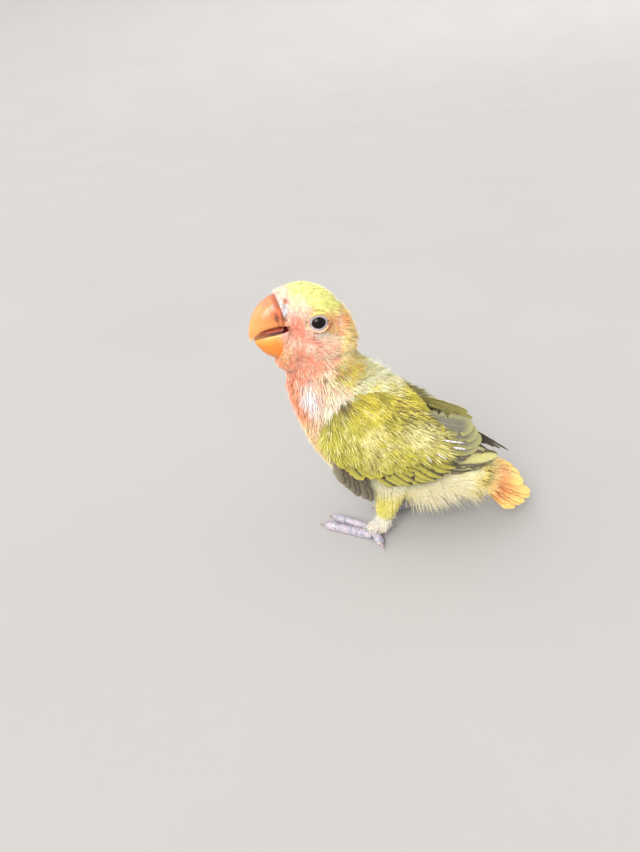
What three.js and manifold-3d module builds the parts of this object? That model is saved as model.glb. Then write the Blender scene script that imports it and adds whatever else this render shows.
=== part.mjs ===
// Peach-faced lovebird, a fledgling of the pale colour form, life-size.
// It stands with its bill a little open and its head turned to its left.
// Millimetres, +Z up, the bill towards -X and the bird's left side towards -Y.
import * as THREE from "three";
import { mergeVertices } from "three/addons/utils/BufferGeometryUtils.js";
import Module from "manifold-3d";

const wasm = await Module();
wasm.setup();

// Driving dimensions
const GAP = 0.3; // between parts that meet
const REACH = 300; // longer than the bird, for half spaces
const HEAD_AT = new THREE.Vector3(-11, 0, 86); // middle of the head
const HEAD_TURN = THREE.MathUtils.degToRad(25);
const EYE_AT = [-5.4, 11.7, 3.9]; // on the side of the head, in the head's frame
const EYE_FACES = [-0.16, 0.96, 0.2];
const EYE_RADIUS = 3.6;
const EYE_BULGE = 0.75; // how far the ball stands out of the head
const LID_RADIUS = 2.8;
const LID_THICKNESS = 0.55;
const NOSTRIL_AT = [-13.4, 4.4, 10.6];
const NOSTRIL_RADIUS = 0.7;
const NOSTRIL_DEPTH = 1.6;
const CERE_SWELLS = 0.45; // over the bill
const FOOT_LEFT = [-1, -11];
const FOOT_RIGHT = [19.5, 11.5];
const LEG_LEANS = { left: 0, right: -0.2 }; // forward for each millimetre above the ankle
const TOE_RADIUS = 1.6;
const TOE_FLAT = 0.3; // how much of the toe's underside is flat
const CLAW_LENGTH = 3;

// Colours, with roughness
const CROWN = [0xf2dd5a, 0.9];
const NECK = [0xf0a07c, 0.9];
const BREAST = [0xe9b878, 0.95];
const WING = [0xb9b23c, 0.85];
const TAIL = [0xf0a45c, 0.85];
const HORN = [0xf09a58, 0.35];
const CERE = [0xe9dcd2, 0.6];
const TONGUE = [0xd98a7c, 0.4];
const EYE = [0x120d0b, 0.06];
const FLUFF = [0xe3dc8e, 0.95];
const SKIN = [0xc9b4b4, 0.7];
const CLAW = [0x8b7f80, 0.4];

// Body and neck, from inside the head to the root of the tail: x, y, z, half depth, half width
const TRUNK = [
  [-12, 0, 81, 7.6, 7.2],
  [-13.6, 0, 71.5, 12.6, 11.6],
  [-12.6, 0, 64, 14.3, 12.6],
  [-9, 0, 57, 17.4, 14.2],
  [-3, 0, 48, 20.4, 15],
  [5, 0, 37.5, 20.8, 15.2],
  [16, 0, 28.9, 17.2, 14],
  [28, 0, 24.3, 12.5, 11.3],
  [38, 0, 21.5, 8.3, 8.2],
  [46, 0, 19, 5.4, 6.6],
];
// Head without the bill, from the nape to the chin, in its own frame
const SKULL = [
  [9.8, 0, -7.4, 0.6, 0.6],
  [8.9, 0, -7.6, 5, 4.8],
  [6.4, 0, -6.4, 9.6, 7.9],
  [3.4, 0, -4.8, 12.6, 9.8],
  [0, 0, -3, 14.3, 11.1],
  [-4, 0, -1.3, 15, 11.9],
  [-8, 0, -0.4, 14.9, 11.5],
  [-11, 0, 0, 14.4, 10.1],
  [-13.6, 0, -0.5, 13.6, 8.8],
  [-15.8, 0, -4.6, 9, 7.7],
  [-17.4, 0, -6.8, 5.7, 6.2],
  [-18.6, 0, -8.2, 2.7, 3.5],
  [-19, 0, -8.6, 0.4, 0.4],
];
// Upper bill: culmen x and z, cutting edge x and z, half width, from inside the head to the tip
const UPPER_BILL = [
  [-8, 13.2, -8, 2.9, 6.4],
  [-12.3, 13.9, -11.6, 2.8, 6.6],
  [-15.5, 13.5, -14.2, 2.7, 6.4],
  [-18.5, 12.3, -16.8, 2.7, 6],
  [-21.3, 10.2, -19.4, 2.5, 5.3],
  [-23.6, 7.5, -21.6, 1.9, 4.3],
  [-25.1, 4.9, -23.2, 1.1, 3.2],
  [-25.9, 2.5, -24.3, 0.1, 2.2],
  [-26.3, 0.3, -25.2, -0.8, 1.2],
  [-26.5, -1.9, -26.1, -1.9, 0.3],
];
// Lower bill: keel x and z, cutting edge x and z, half width, from inside the head to the tip
const LOWER_BILL = [
  [-11, -8.5, -10, 1.6, 5.4],
  [-16.4, -10.2, -13.5, 1.3, 5.6],
  [-18.9, -10, -15.9, 0.9, 5.5],
  [-20.9, -8.6, -18.2, 0.6, 5],
  [-22.6, -6.6, -20.5, 0.2, 4.2],
  [-23.8, -4.5, -22.6, -0.3, 3.1],
  [-24.6, -2.8, -24.1, -0.9, 1.8],
  [-24.9, -1.7, -24.8, -1.4, 0.4],
];
const TONGUE_PATH = [
  [-12, 0, 0.5, 1, 2.4],
  [-15.5, 0, 0.7, 1.1, 2.6],
  [-18.5, 0, 0.8, 1, 2.4],
  [-21, 0, 0.6, 0.8, 1.7],
  [-22.4, 0, 0.4, 0.2, 0.4],
];
// Lines seen from the side of the head: x, z from top to bottom
const FACE_LINE = [
  [-10.4, 20],
  [-10.8, 14.6],
  [-13.9, 2.2],
  [-19.2, -11.4],
  [-20.4, -20],
];
const CERE_LINE = [
  [-16.6, 20],
  [-16, 13.4],
  [-14.4, 2.2],
  [-13.2, -6],
];
// Thigh from the hip to the ankle, for a foot whose root is at the origin
const THIGH = [
  [10, 0.5, 32, 4.6, 4.6],
  [8.6, -1.4, 25, 5.6, 5.2],
  [7.4, -1.6, 18, 4.8, 4.4],
  [6.2, -1, 12.4, 3.5, 3.3],
  [5.4, -0.6, 8.6, 2.4, 2.4],
];
const ANKLE = 8.6; // height
const SHANK = [
  [6.2, -0.9, 11, 1.5, 1.5],
  [4.6, -0.4, 7, 1.6, 1.6],
  [2, 0, 3.6, 1.8, 2.1],
  [0.5, 0, 1.7, 1.7, 2.6],
  [-1.2, 0, 1.1, 1.1, 1.7],
];
// Toes: where each leaves the foot, its heading from straight ahead towards the middle, and its length
const TOES = [
  { name: "inner_front", from: [-0.9, 1.95], heading: 29, length: 17 },
  { name: "outer_front", from: [-0.9, -1.75], heading: 22, length: 19.5 },
  { name: "inner_hind", from: [1.6, 1.7], heading: 165, length: 4.8 },
  { name: "outer_hind", from: [1.2, -1.8], heading: 247, length: 5 },
];

// Wing plan: along the folded wing and across it, seen from the side
const WINGS = {
  left: { x: -10, z: 56, slope: THREE.MathUtils.degToRad(22.9), tuck: 1 },
  right: { x: -8.4, z: 54.4, slope: THREE.MathUtils.degToRad(27.5), tuck: 0.74 }, // held lower and tighter
};
const WING_FLANK = 18.8; // half the width over the wings
const WING_KEEL = -12; // height of its widest line
const WING_CAMBER = 0.0108;
const WING_STRAIGHT = 32; // from here it closes in on the tail
const WING_CLOSES = 0.0105;
const WING_FRONT = 4; // ahead of here it rounds in to the breast
const WING_ROUNDS = 0.06;
// Arm and hand under the coverts: distance along, low edge, high edge, thickness
const WING_OUTLINE = [
  [-3.5, -9, -3, 0.8],
  [-1, -13.5, 3.5, 3],
  [5, -16.6, 9, 4.2],
  [13, -17.2, 11.2, 4.6],
  [22, -14.4, 11.2, 4.2],
  [30, -9.5, 9.4, 3.4],
  [37, -5, 7, 2.2],
  [42, -1.5, 4, 0.8],
];
const WING_UNDER = 1; // the arm's face under the face of the folded wing
// Feathers in tiers, the lowest first: roots and tips along a line, with their lift over the wing's face
const WING_TIERS = [
  {
    count: 5,
    roots: [[28, -9.5], [31, -4]],
    tips: [[53.5, -6], [58.5, -3.6], [62.4, -0.8]],
    widths: [5.4, 5.8],
    lifts: [-4, -3.5],
    roll: -0.2,
  },
  {
    count: 8,
    roots: [[9.5, -11], [26, 6]],
    tips: [[28.5, -18.5], [42, -11], [51, 0.5]],
    widths: [6.2, 7],
    lifts: [-2.4, -1.2],
    roll: -0.22,
  },
  {
    count: 3,
    roots: [[24, 4.6], [25.5, 8.4]],
    tips: [[53, 3.4], [52, 6.6], [48.5, 9.6]],
    widths: [8, 7],
    lifts: [-2, 0.3],
    roll: -0.2,
  },
  {
    count: 7,
    roots: [[5, -12], [19, 8.4]],
    tips: [[17.5, -18.4], [30, -9], [37.5, 6.5]],
    widths: [6.2, 7],
    lifts: [-2, 0.2],
    roll: -0.2,
  },
  {
    count: 6,
    roots: [[0.5, -9], [9.5, 7.6]],
    tips: [[9.5, -15.5], [19, -6], [24.5, 7]],
    widths: [5.8, 6.6],
    lifts: [-1.9, 0.9],
    roll: -0.2,
  },
];
// Vanes of the wing's edge, which hang in front of the thigh
const WING_EDGE = {
  count: 4,
  roots: [[3, -12], [11, -14.6]],
  tips: [[13.5, -25.5], [18.5, -28.8], [24, -29.4]],
  widths: [4.8, 5.4],
  lifts: [-2.6, -1.6],
  roll: 0.2,
};
const VANE_THICKNESS = 0.5;
// Outline of a vane: share of its length, of its width and of its thickness
const VANE = [
  [0, 0.5, 1],
  [0.3, 0.84, 1],
  [0.66, 1, 1],
  [0.89, 0.8, 0.9],
  [1, 0.32, 0.6],
];
const VANE_VARIES = 0.5; // how far tips stray from their line

// Stump of the tail: x, y, z, half depth, half width
const TAIL_PATH = [
  [40, 0, 21.3, 6.2, 7.3],
  [44, 0, 19.6, 4.8, 6.6],
  [48.5, 0, 17.7, 2.8, 5.4],
  [51, 0, 16.6, 1, 3],
];
// Plane of the tail's fan, its left side held low
const FAN_AT = new THREE.Vector3(42, 0, 20);
const FAN_SLOPE = THREE.MathUtils.degToRad(24);
const FAN_TILT = THREE.MathUtils.degToRad(24);
const FAN_ANGLES = [7, 11, 21, 26, 36, 41]; // degrees to each side, in pairs that lie close
const TAIL_LENGTHS = { left: [19.8, 16.5], right: [16, 14.5] }; // middle and outer
const TAIL_WIDTH = 6.2;
const TAIL_COVERTS = { count: 5, length: 10.5, width: 5, spread: 26 };

// A closed geometry as a solid that can be joined and cut
function solid(geometry) {
  const bare = geometry.clone();
  bare.deleteAttribute("normal");
  bare.deleteAttribute("uv");
  const merged = mergeVertices(bare, 1e-4);
  const corners = merged.index.array;
  const triVerts = [];
  for (let i = 0; i < corners.length; i += 3) {
    const [a, b, c] = corners.slice(i, i + 3);
    if (a !== b && b !== c && c !== a) triVerts.push(a, b, c);
  }
  const made = new wasm.Manifold(
    new wasm.Mesh({
      numProp: 3,
      vertProperties: merged.attributes.position.array,
      triVerts: new Uint32Array(triVerts),
    }),
  );
  if (made.volume() > 0) return made;
  return solid(turnedOut(merged, triVerts));
}

// The same closed geometry with its faces turned round
function turnedOut(geometry, triVerts) {
  const turned = geometry.clone();
  turned.setIndex([...triVerts].reverse());
  return turned;
}

// The largest closed surface of a solid, which drops scraps and fills sealed hollows
function largest(body) {
  return body.decompose().reduce((a, b) => (b.volume() > a.volume() ? b : a));
}

function join(bodies) {
  return bodies.reduce((a, b) => a.add(b));
}

function geometryOf(body) {
  const mesh = body.getMesh();
  const geometry = new THREE.BufferGeometry();
  geometry.setAttribute("position", new THREE.BufferAttribute(mesh.vertProperties, 3));
  geometry.setIndex(new THREE.BufferAttribute(mesh.triVerts, 1));
  geometry.computeVertexNormals();
  return geometry;
}

// A named part of the bird
function part(name, body, [color, roughness]) {
  const material = new THREE.MeshStandardMaterial({ color, roughness, metalness: 0 });
  const mesh = new THREE.Mesh(geometryOf(largest(body)), material);
  mesh.name = name;
  return mesh;
}

// A closed skin through rings that have the same number of points.
// On the sides that lean splits its faces by the other diagonal.
function loft(rings, leans = () => false) {
  const sides = rings[0].length;
  const points = rings.flat();
  const index = [];
  for (let r = 0; r + 1 < rings.length; r += 1) {
    for (let i = 0; i < sides; i += 1) {
      const a = r * sides + i;
      const b = r * sides + ((i + 1) % sides);
      if (leans(i)) index.push(a, b, a + sides, b, b + sides, a + sides);
      else index.push(a, b, b + sides, a, b + sides, a + sides);
    }
  }
  const last = (rings.length - 1) * sides;
  for (let i = 0; i < sides; i += 1) {
    const next = (i + 1) % sides;
    index.push(points.length, next, i);
    index.push(points.length + 1, last + i, last + next);
  }
  const middle = (ring) => ring.reduce((sum, p) => sum.add(p), new THREE.Vector3()).divideScalar(sides);
  points.push(middle(rings[0]), middle(rings[rings.length - 1]));
  return new THREE.BufferGeometry().setFromPoints(points).setIndex(index);
}

// A body that swells and tapers along a path of stations: x, y, z, half height, half width.
// Its sections stand square to the path, or to one heading.
function sweep(stations, { rings, sides, up = new THREE.Vector3(0, 0, 1), heading = null, grow = 0 }) {
  const path = new THREE.CatmullRomCurve3(stations.map(([x, y, z]) => new THREE.Vector3(x, y, z)));
  const sizes = new THREE.CatmullRomCurve3(stations.map(([, , , a, b]) => new THREE.Vector3(a, b, 0)));
  const made = [];
  for (let r = 0; r <= rings; r += 1) {
    const along = heading ?? path.getTangent(r / rings);
    const across = new THREE.Vector3().crossVectors(along, up).normalize();
    const over = new THREE.Vector3().crossVectors(across, along);
    const middle = path.getPoint(r / rings);
    if (r === 0) middle.addScaledVector(along, -grow);
    if (r === rings) middle.addScaledVector(along, grow);
    const size = sizes.getPoint(r / rings);
    const ring = [];
    for (let i = 0; i < sides; i += 1) {
      const angle = (2 * Math.PI * i) / sides;
      ring.push(
        middle
          .clone()
          .addScaledVector(over, (Math.max(size.x, 0.1) + grow) * Math.cos(angle))
          .addScaledVector(across, (Math.max(size.y, 0.1) + grow) * Math.sin(angle)),
      );
    }
    made.push(ring);
  }
  return loft(made);
}

let seed = 7;
// The next of a fixed row of numbers between -1 and 1
function stray() {
  seed = (seed * 16807) % 2147483647;
  return (seed / 2147483647) * 2 - 1;
}

// A feather's vane laid along a face, which gives the point at two distances and a lift.
// Both faces have the same triangles, so a bent vane stays as thick as a flat one.
function vane(face, { root, tip, width, lifts, roll }) {
  const along = new THREE.Vector2(tip[0] - root[0], tip[1] - root[1]);
  const across = new THREE.Vector2(-along.y, along.x).normalize();
  const rings = VANE.map(([share, wide, thick]) => {
    const reach = (wide * width) / 2;
    const lift = THREE.MathUtils.lerp(lifts[0], lifts[1], share);
    const point = (edge, turned) =>
      face(
        root[0] + along.x * share + across.x * edge * reach,
        root[1] + along.y * share + across.y * edge * reach,
        lift + roll * edge * reach + turned * thick * (VANE_THICKNESS / 2),
      );
    return [point(-1, 1), point(0, 1), point(1, 1), point(1, -1), point(0, -1), point(-1, -1)];
  });
  return solid(loft(rings, (i) => i === 3 || i === 4));
}

// A tier of vanes, their roots and tips spread along two lines
function tier(face, { count, roots, tips, widths, lifts, roll }) {
  const line = (places) => new THREE.CatmullRomCurve3(places.map(([s, h]) => new THREE.Vector3(s, h, 0)));
  const rootLine = line(roots);
  const tipLine = line(tips);
  const vanes = [];
  for (let i = 0; i < count; i += 1) {
    const share = i / (count - 1);
    const root = rootLine.getPoint(share);
    const tip = tipLine.getPoint(share);
    const width = THREE.MathUtils.lerp(widths[0], widths[1], share);
    vanes.push(
      vane(face, {
        root: [root.x, root.y],
        tip: [tip.x + VANE_VARIES * stray(), tip.y + VANE_VARIES * stray()],
        width: width * (1 + 0.04 * stray()),
        lifts,
        roll,
      }),
    );
  }
  return join(vanes);
}

// Everything on one side of a plane
function beyond(point, direction) {
  const slab = new THREE.BoxGeometry(REACH, REACH, REACH);
  slab.translate(0, 0, REACH / 2);
  const turn = new THREE.Quaternion().setFromUnitVectors(new THREE.Vector3(0, 0, 1), direction.clone().normalize());
  slab.applyQuaternion(turn);
  slab.translate(point.x, point.y, point.z);
  return solid(slab);
}

// The two parts of a body on either side of a plane, with the gap between them
function parted(body, point, direction) {
  const unit = direction.clone().normalize();
  const ahead = point.clone().addScaledVector(unit, GAP / 2);
  const behind = point.clone().addScaledVector(unit, -GAP / 2);
  return [body.intersect(beyond(ahead, unit)), body.intersect(beyond(behind, unit.clone().negate()))];
}

// Everything in front of a line seen from the side, a little moved forward or back
function inFrontOf(line, moved) {
  const outline = line.map(([x, z]) => new THREE.Vector2(x + moved, z));
  outline.push(new THREE.Vector2(-REACH / 2, line[line.length - 1][1]));
  outline.push(new THREE.Vector2(-REACH / 2, line[0][1]));
  const block = new THREE.ExtrudeGeometry(new THREE.Shape(outline), { depth: REACH, bevelEnabled: false });
  block.rotateX(Math.PI / 2);
  block.translate(0, REACH / 2, 0);
  return solid(block);
}

const headFrame = new THREE.Matrix4().makeRotationZ(HEAD_TURN).setPosition(HEAD_AT);
const intoHead = headFrame.clone().invert();
const SIDES = { left: -1, right: 1 };

// Trunk and skull in the bird's frame, and the trunk grown by the gap to cut its neighbours clear
const TRUNK_UP = new THREE.Vector3(1, 0, 1);
const trunkShape = (grow) => sweep(TRUNK, { rings: 22, sides: 24, up: TRUNK_UP, grow });
const trunk = solid(trunkShape(0));
const trunkRoom = solid(trunkShape(GAP));

const NAPE_CUT = [new THREE.Vector3(-13, 0, 73.2), new THREE.Vector3(-0.1, 0, 1)];
const BREAST_CUT = [new THREE.Vector3(-12.6, 0, 64.2), new THREE.Vector3(-0.25, 0, 1)];
const RUMP_CUT = [new THREE.Vector3(43, 0, 20.2), new THREE.Vector3(1, 0, -0.36)];

// One half of the bill's section: from the ridge down to the cutting edge
const BILL_STEPS = 4;
function billRing([ridgeX, ridgeZ, edgeX, edgeZ, halfWidth], hollow, grow) {
  const side = [];
  const reach = Math.sign(ridgeZ - edgeZ || 1);
  for (let i = 0; i <= BILL_STEPS; i += 1) {
    const angle = (Math.PI / 2) * (i / BILL_STEPS);
    const down = 1 - Math.cos(angle);
    const x = ridgeX + (edgeX - ridgeX) * down;
    const z = ridgeZ + grow * reach * Math.cos(angle) + (edgeZ - ridgeZ) * down;
    side.push(new THREE.Vector3(x, (halfWidth + grow) * Math.sin(angle) ** 0.85, z));
  }
  const inside = side[BILL_STEPS].clone();
  inside.y *= 0.55;
  inside.z += (ridgeZ - edgeZ) * hollow;
  inside.x += (ridgeX - edgeX) * hollow;
  const half = [...side, inside];
  const floor = inside.clone().setY(0);
  const mirrored = half.slice(1).map((p) => new THREE.Vector3(p.x, -p.y, p.z));
  return [...half, floor, ...mirrored.reverse()];
}

function bill(stations, hollow, grow = 0) {
  return solid(loft(stations.map((station) => billRing(station, hollow, grow))));
}

const upperBill = bill(UPPER_BILL, 0.16);
const lowerBill = bill(LOWER_BILL, 0.2);

// A cylinder set into a surface, its middle at the place and its axis along the direction
function plug(radius, depth, place, direction) {
  const made = new THREE.CylinderGeometry(radius, radius, depth, 12);
  const turn = new THREE.Quaternion().setFromUnitVectors(
    new THREE.Vector3(0, 1, 0),
    new THREE.Vector3(...direction).normalize(),
  );
  made.applyQuaternion(turn);
  made.translate(...place);
  return solid(made);
}

function ball(radius, middle) {
  return solid(new THREE.SphereGeometry(radius, 14, 9).translate(middle.x, middle.y, middle.z));
}

function eyeMiddle(side) {
  const faces = new THREE.Vector3(EYE_FACES[0], side * EYE_FACES[1], EYE_FACES[2]).normalize();
  const surface = new THREE.Vector3(EYE_AT[0], side * EYE_AT[1], EYE_AT[2]);
  return { faces, surface, middle: surface.clone().addScaledVector(faces, EYE_BULGE - EYE_RADIUS) };
}

// Ring of bare skin with both lids, round the open eye
function lids(side) {
  const { faces, surface } = eyeMiddle(side);
  const ring = new THREE.TorusGeometry(LID_RADIUS, LID_THICKNESS, 5, 14);
  ring.applyQuaternion(new THREE.Quaternion().setFromUnitVectors(new THREE.Vector3(0, 0, 1), faces));
  ring.translate(surface.x, surface.y, surface.z);
  return solid(ring);
}

function headParts() {
  const skull = solid(sweep(SKULL, { rings: 17, sides: 20, heading: new THREE.Vector3(-1, 0, 0) }));
  const nape = solid(trunkShape(0).applyMatrix4(intoHead));
  let head = skull.add(nape).add(lids(-1)).add(lids(1));
  for (const side of [-1, 1]) {
    head = head.subtract(ball(EYE_RADIUS + GAP, eyeMiddle(side).middle));
  }
  const up = NAPE_CUT[1].clone().transformDirection(intoHead);
  const [above] = parted(head, NAPE_CUT[0].clone().applyMatrix4(intoHead), up);
  return above.subtract(inFrontOf(FACE_LINE, 0));
}

function cereBody() {
  let cere = bill(UPPER_BILL, 0.16, CERE_SWELLS);
  for (const side of [-1, 1]) {
    const swelling = new THREE.SphereGeometry(2.3, 16, 12);
    swelling.scale(1.1, 0.8, 0.9);
    swelling.translate(NOSTRIL_AT[0], side * (NOSTRIL_AT[1] - 1), NOSTRIL_AT[2] - 0.6);
    cere = cere.add(solid(swelling));
  }
  for (const side of [-1, 1]) {
    const place = [NOSTRIL_AT[0], side * NOSTRIL_AT[1], NOSTRIL_AT[2]];
    cere = cere.subtract(plug(NOSTRIL_RADIUS, NOSTRIL_DEPTH, place, [-0.1, side * 0.7, 0.7]));
  }
  return cere.intersect(inFrontOf(FACE_LINE, -GAP)).subtract(inFrontOf(CERE_LINE, 0));
}

function jawParts() {
  const upper = upperBill.intersect(inFrontOf(CERE_LINE, -GAP));
  const tongue = solid(sweep(TONGUE_PATH, { rings: 6, sides: 9 }));
  const tongueRoom = solid(sweep(TONGUE_PATH, { rings: 6, sides: 9, grow: GAP }));
  const inFront = inFrontOf(FACE_LINE, -GAP);
  const lower = lowerBill.intersect(inFront).subtract(tongueRoom);
  return [
    part("cere", cereBody(), CERE),
    part("upper_bill", upper, HORN),
    part("lower_bill", lower, HORN),
    part("tongue", tongue.intersect(inFront), TONGUE),
  ];
}

// The head with all that it carries, in its own frame
function headGroup() {
  const group = new THREE.Group();
  group.position.copy(HEAD_AT);
  group.rotation.z = HEAD_TURN;
  group.add(part("head", headParts(), CROWN), ...jawParts());
  for (const [name, side] of Object.entries(SIDES)) {
    group.add(part("eye_" + name, ball(EYE_RADIUS, eyeMiddle(side).middle), EYE));
  }
  return group;
}

// A point on the folded wing's outer face, raised from it by lift
function wingPoint(name, along, across, lift) {
  const side = SIDES[name];
  const { x, z, slope, tuck } = WINGS[name];
  const face = (s, plan) => {
    const h = plan > 0 ? plan * tuck : plan;
    const closing = WING_CLOSES * Math.max(0, s - WING_STRAIGHT) ** 2;
    const rounding = WING_ROUNDS * Math.max(0, WING_FRONT - s) ** 2;
    const width = WING_FLANK - WING_CAMBER * (h - WING_KEEL) ** 2 - closing - rounding;
    return new THREE.Vector3(
      x + s * Math.cos(slope) + h * Math.sin(slope),
      side * width,
      z - s * Math.sin(slope) + h * Math.cos(slope),
    );
  };
  const here = face(along, across);
  const down = face(along + 0.1, across).sub(here);
  const over = face(along, across + 0.1).sub(here);
  const out = new THREE.Vector3().crossVectors(over, down).normalize();
  if (out.y * side < 0) out.negate();
  return here.addScaledVector(out, lift);
}

// The arm and hand as one cushion, thin at its edges
function wingCushion(name, outline, steps, across) {
  const lows = new THREE.CatmullRomCurve3(outline.map(([s, low]) => new THREE.Vector3(s, low, 0)));
  const highs = new THREE.CatmullRomCurve3(outline.map(([, , high, thick]) => new THREE.Vector3(high, thick, 0)));
  const rings = [];
  for (let r = 0; r <= steps; r += 1) {
    const { x: s, y: low } = lows.getPoint(r / steps);
    const { x: high, y: thick } = highs.getPoint(r / steps);
    const outer = [];
    const inner = [];
    for (let i = 0; i <= across; i += 1) {
      const h = low + (high - low) * (0.5 - 0.5 * Math.cos((Math.PI * i) / across));
      const full = Math.sin((Math.PI * i) / across);
      outer.push(wingPoint(name, s, h, thick * (0.3 * full - 0.3) - WING_UNDER));
      if (i > 0 && i < across) inner.push(wingPoint(name, s, h, -thick * (0.3 + 0.7 * full) - WING_UNDER));
    }
    rings.push([...outer, ...inner.reverse()]);
  }
  return solid(loft(rings));
}

function legStations(stations, [x, y], name) {
  const lean = (z) => LEG_LEANS[name] * Math.max(0, z - ANKLE);
  return stations.map(([dx, dy, z, a, b]) => [x + dx + lean(z), y + SIDES[name] * dy, z, a, b]);
}

const LEG_UP = new THREE.Vector3(1, 0, 0);
const FLOOR = beyond(new THREE.Vector3(0, 0, 0), new THREE.Vector3(0, 0, -1));

// Stations of a toe and of its claw, for the foot on one side
function toePaths({ from, heading, length }, [x, y], side) {
  const turn = THREE.MathUtils.degToRad(heading);
  const ahead = new THREE.Vector2(-Math.cos(turn), -side * Math.sin(turn));
  const at = (distance, z, radius) => [
    x + from[0] + ahead.x * distance,
    y - side * from[1] + ahead.y * distance,
    z,
    radius,
    radius,
  ];
  const low = TOE_RADIUS - TOE_FLAT;
  const toe = [
    at(0, low + 0.2, TOE_RADIUS),
    at(length * 0.3, low, TOE_RADIUS * 0.98),
    at(length * 0.6, low - 0.04, TOE_RADIUS * 0.94),
    at(length * 0.9, low - 0.1, TOE_RADIUS * 0.9),
    at(length, low - 0.15, TOE_RADIUS * 0.5),
  ];
  const claw = [
    at(length - 0.8, low, 0.7),
    at(length + CLAW_LENGTH * 0.3, low + 0.15, 0.62),
    at(length + CLAW_LENGTH * 0.7, low - 0.15, 0.38),
    at(length + CLAW_LENGTH, 0.3, 0.14),
  ];
  return { toe, claw };
}

// One leg: thigh, shank with the sole, four toes and their claws
function legParts(name, root) {
  const side = SIDES[name];
  const thighPath = legStations(THIGH, root, name);
  const shankPath = legStations(SHANK, root, name);
  const thighShape = (grow) => solid(sweep(thighPath, { rings: 10, sides: 14, up: LEG_UP, grow }));
  const shankShape = (grow) => solid(sweep(shankPath, { rings: 7, sides: 10, up: LEG_UP, grow }));
  const thigh = thighShape(0).subtract(trunkRoom);
  const shank = shankShape(0).subtract(thighShape(GAP)).subtract(FLOOR);
  const shankRoom = shankShape(GAP);
  const parts = [part("thigh_" + name, thigh, FLUFF), part("foot_" + name, shank, SKIN)];
  for (const toe of TOES) {
    const paths = toePaths(toe, root, side);
    const shape = (path, grow) => solid(sweep(path, { rings: 4, sides: 7, grow }));
    const body = shape(paths.toe, 0).subtract(shankRoom).subtract(FLOOR);
    const claw = shape(paths.claw, 0).subtract(shape(paths.toe, GAP)).subtract(FLOOR);
    parts.push(part(`toe_${name}_${toe.name}`, body, SKIN));
    parts.push(part(`claw_${name}_${toe.name}`, claw, CLAW));
  }
  return { parts, thighRoom: thighShape(GAP) };
}

const legs = { left: legParts("left", FOOT_LEFT), right: legParts("right", FOOT_RIGHT) };

const [, belowHead] = parted(trunk, ...NAPE_CUT);
const [neck, belowNeck] = parted(belowHead, ...BREAST_CUT);
const [, torso] = parted(belowNeck, ...RUMP_CUT);
const headRoom = beyond(NAPE_CUT[0], NAPE_CUT[1]);

function wing(name) {
  const face = (along, across, lift) => wingPoint(name, along, across, lift);
  const tiers = [...WING_TIERS, WING_EDGE].map((one) => tier(face, one));
  return join([wingCushion(name, WING_OUTLINE, 11, 7), ...tiers])
    .subtract(trunkRoom)
    .subtract(legs[name].thighRoom)
    .subtract(headRoom);
}

// A point of the tail's fan: backwards, to the right, and raised from it
function fanPoint(back, right, lift) {
  return new THREE.Vector3(back, right, lift)
    .applyAxisAngle(new THREE.Vector3(1, 0, 0), FAN_TILT)
    .applyAxisAngle(new THREE.Vector3(0, 1, 0), FAN_SLOPE)
    .add(FAN_AT);
}

// One feather of the fan at an angle from the middle, its inner edge under its neighbour
function fanFeather(angle, length, width, lift) {
  const turn = THREE.MathUtils.degToRad(angle);
  const side = Math.sign(angle);
  const at = (distance) => [distance * Math.cos(turn), distance * Math.sin(turn)];
  return vane(fanPoint, { root: at(2.5), tip: at(length), width, lifts: [lift, lift], roll: 0.2 * side });
}

function tail() {
  const stump = solid(sweep(TAIL_PATH, { rings: 6, sides: 16 }));
  const feathers = [];
  const last = FAN_ANGLES.length - 1;
  for (const [name, side] of Object.entries(SIDES)) {
    const [middle, outer] = TAIL_LENGTHS[name];
    FAN_ANGLES.forEach((angle, i) => {
      const length = THREE.MathUtils.lerp(middle, outer, (i / last) ** 2) + 0.4 * stray();
      const lift = -0.4 * i + (side < 0 ? -0.8 : 0);
      feathers.push(fanFeather(side * (angle + 0.8 * stray()), length, TAIL_WIDTH, lift));
    });
  }
  const { count, length, width, spread } = TAIL_COVERTS;
  for (let i = 0; i < count; i += 1) {
    const angle = spread * ((2 * i) / (count - 1) - 1) + 0.5;
    feathers.push(fanFeather(angle, length + 0.5 * stray(), width, 2.4 - Math.abs(angle) * 0.02));
  }
  return parted(join([stump, ...feathers]), ...RUMP_CUT)[0].subtract(trunkRoom);
}

const bird = new THREE.Group();
bird.add(headGroup());
bird.add(part("neck", neck, NECK));
bird.add(part("torso", torso, BREAST));
bird.add(part("wing_left", wing("left"), WING));
bird.add(part("wing_right", wing("right"), WING));
bird.add(part("tail", tail(), TAIL));
bird.add(...legs.left.parts, ...legs.right.parts);

// The origin is on the floor, below the middle of the bird
bird.updateMatrixWorld(true);
const box = new THREE.Box3().setFromObject(bird, true);
bird.position.set(-(box.min.x + box.max.x) / 2, -(box.min.y + box.max.y) / 2, -box.min.z);

export default bird;
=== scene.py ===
# Looks of the peach-faced lovebird, a fledgling of the pale colour form.
# Shapes are worked out in millimetres in the bird's own frame, with the bill towards -X and its left side
# towards -Y, and put in the model's frame, in metres, when a mesh is made.
from functools import partial
import math

import bpy
import numpy as np
from mathutils import Matrix, Vector, noise
from mathutils.bvhtree import BVHTree


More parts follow.
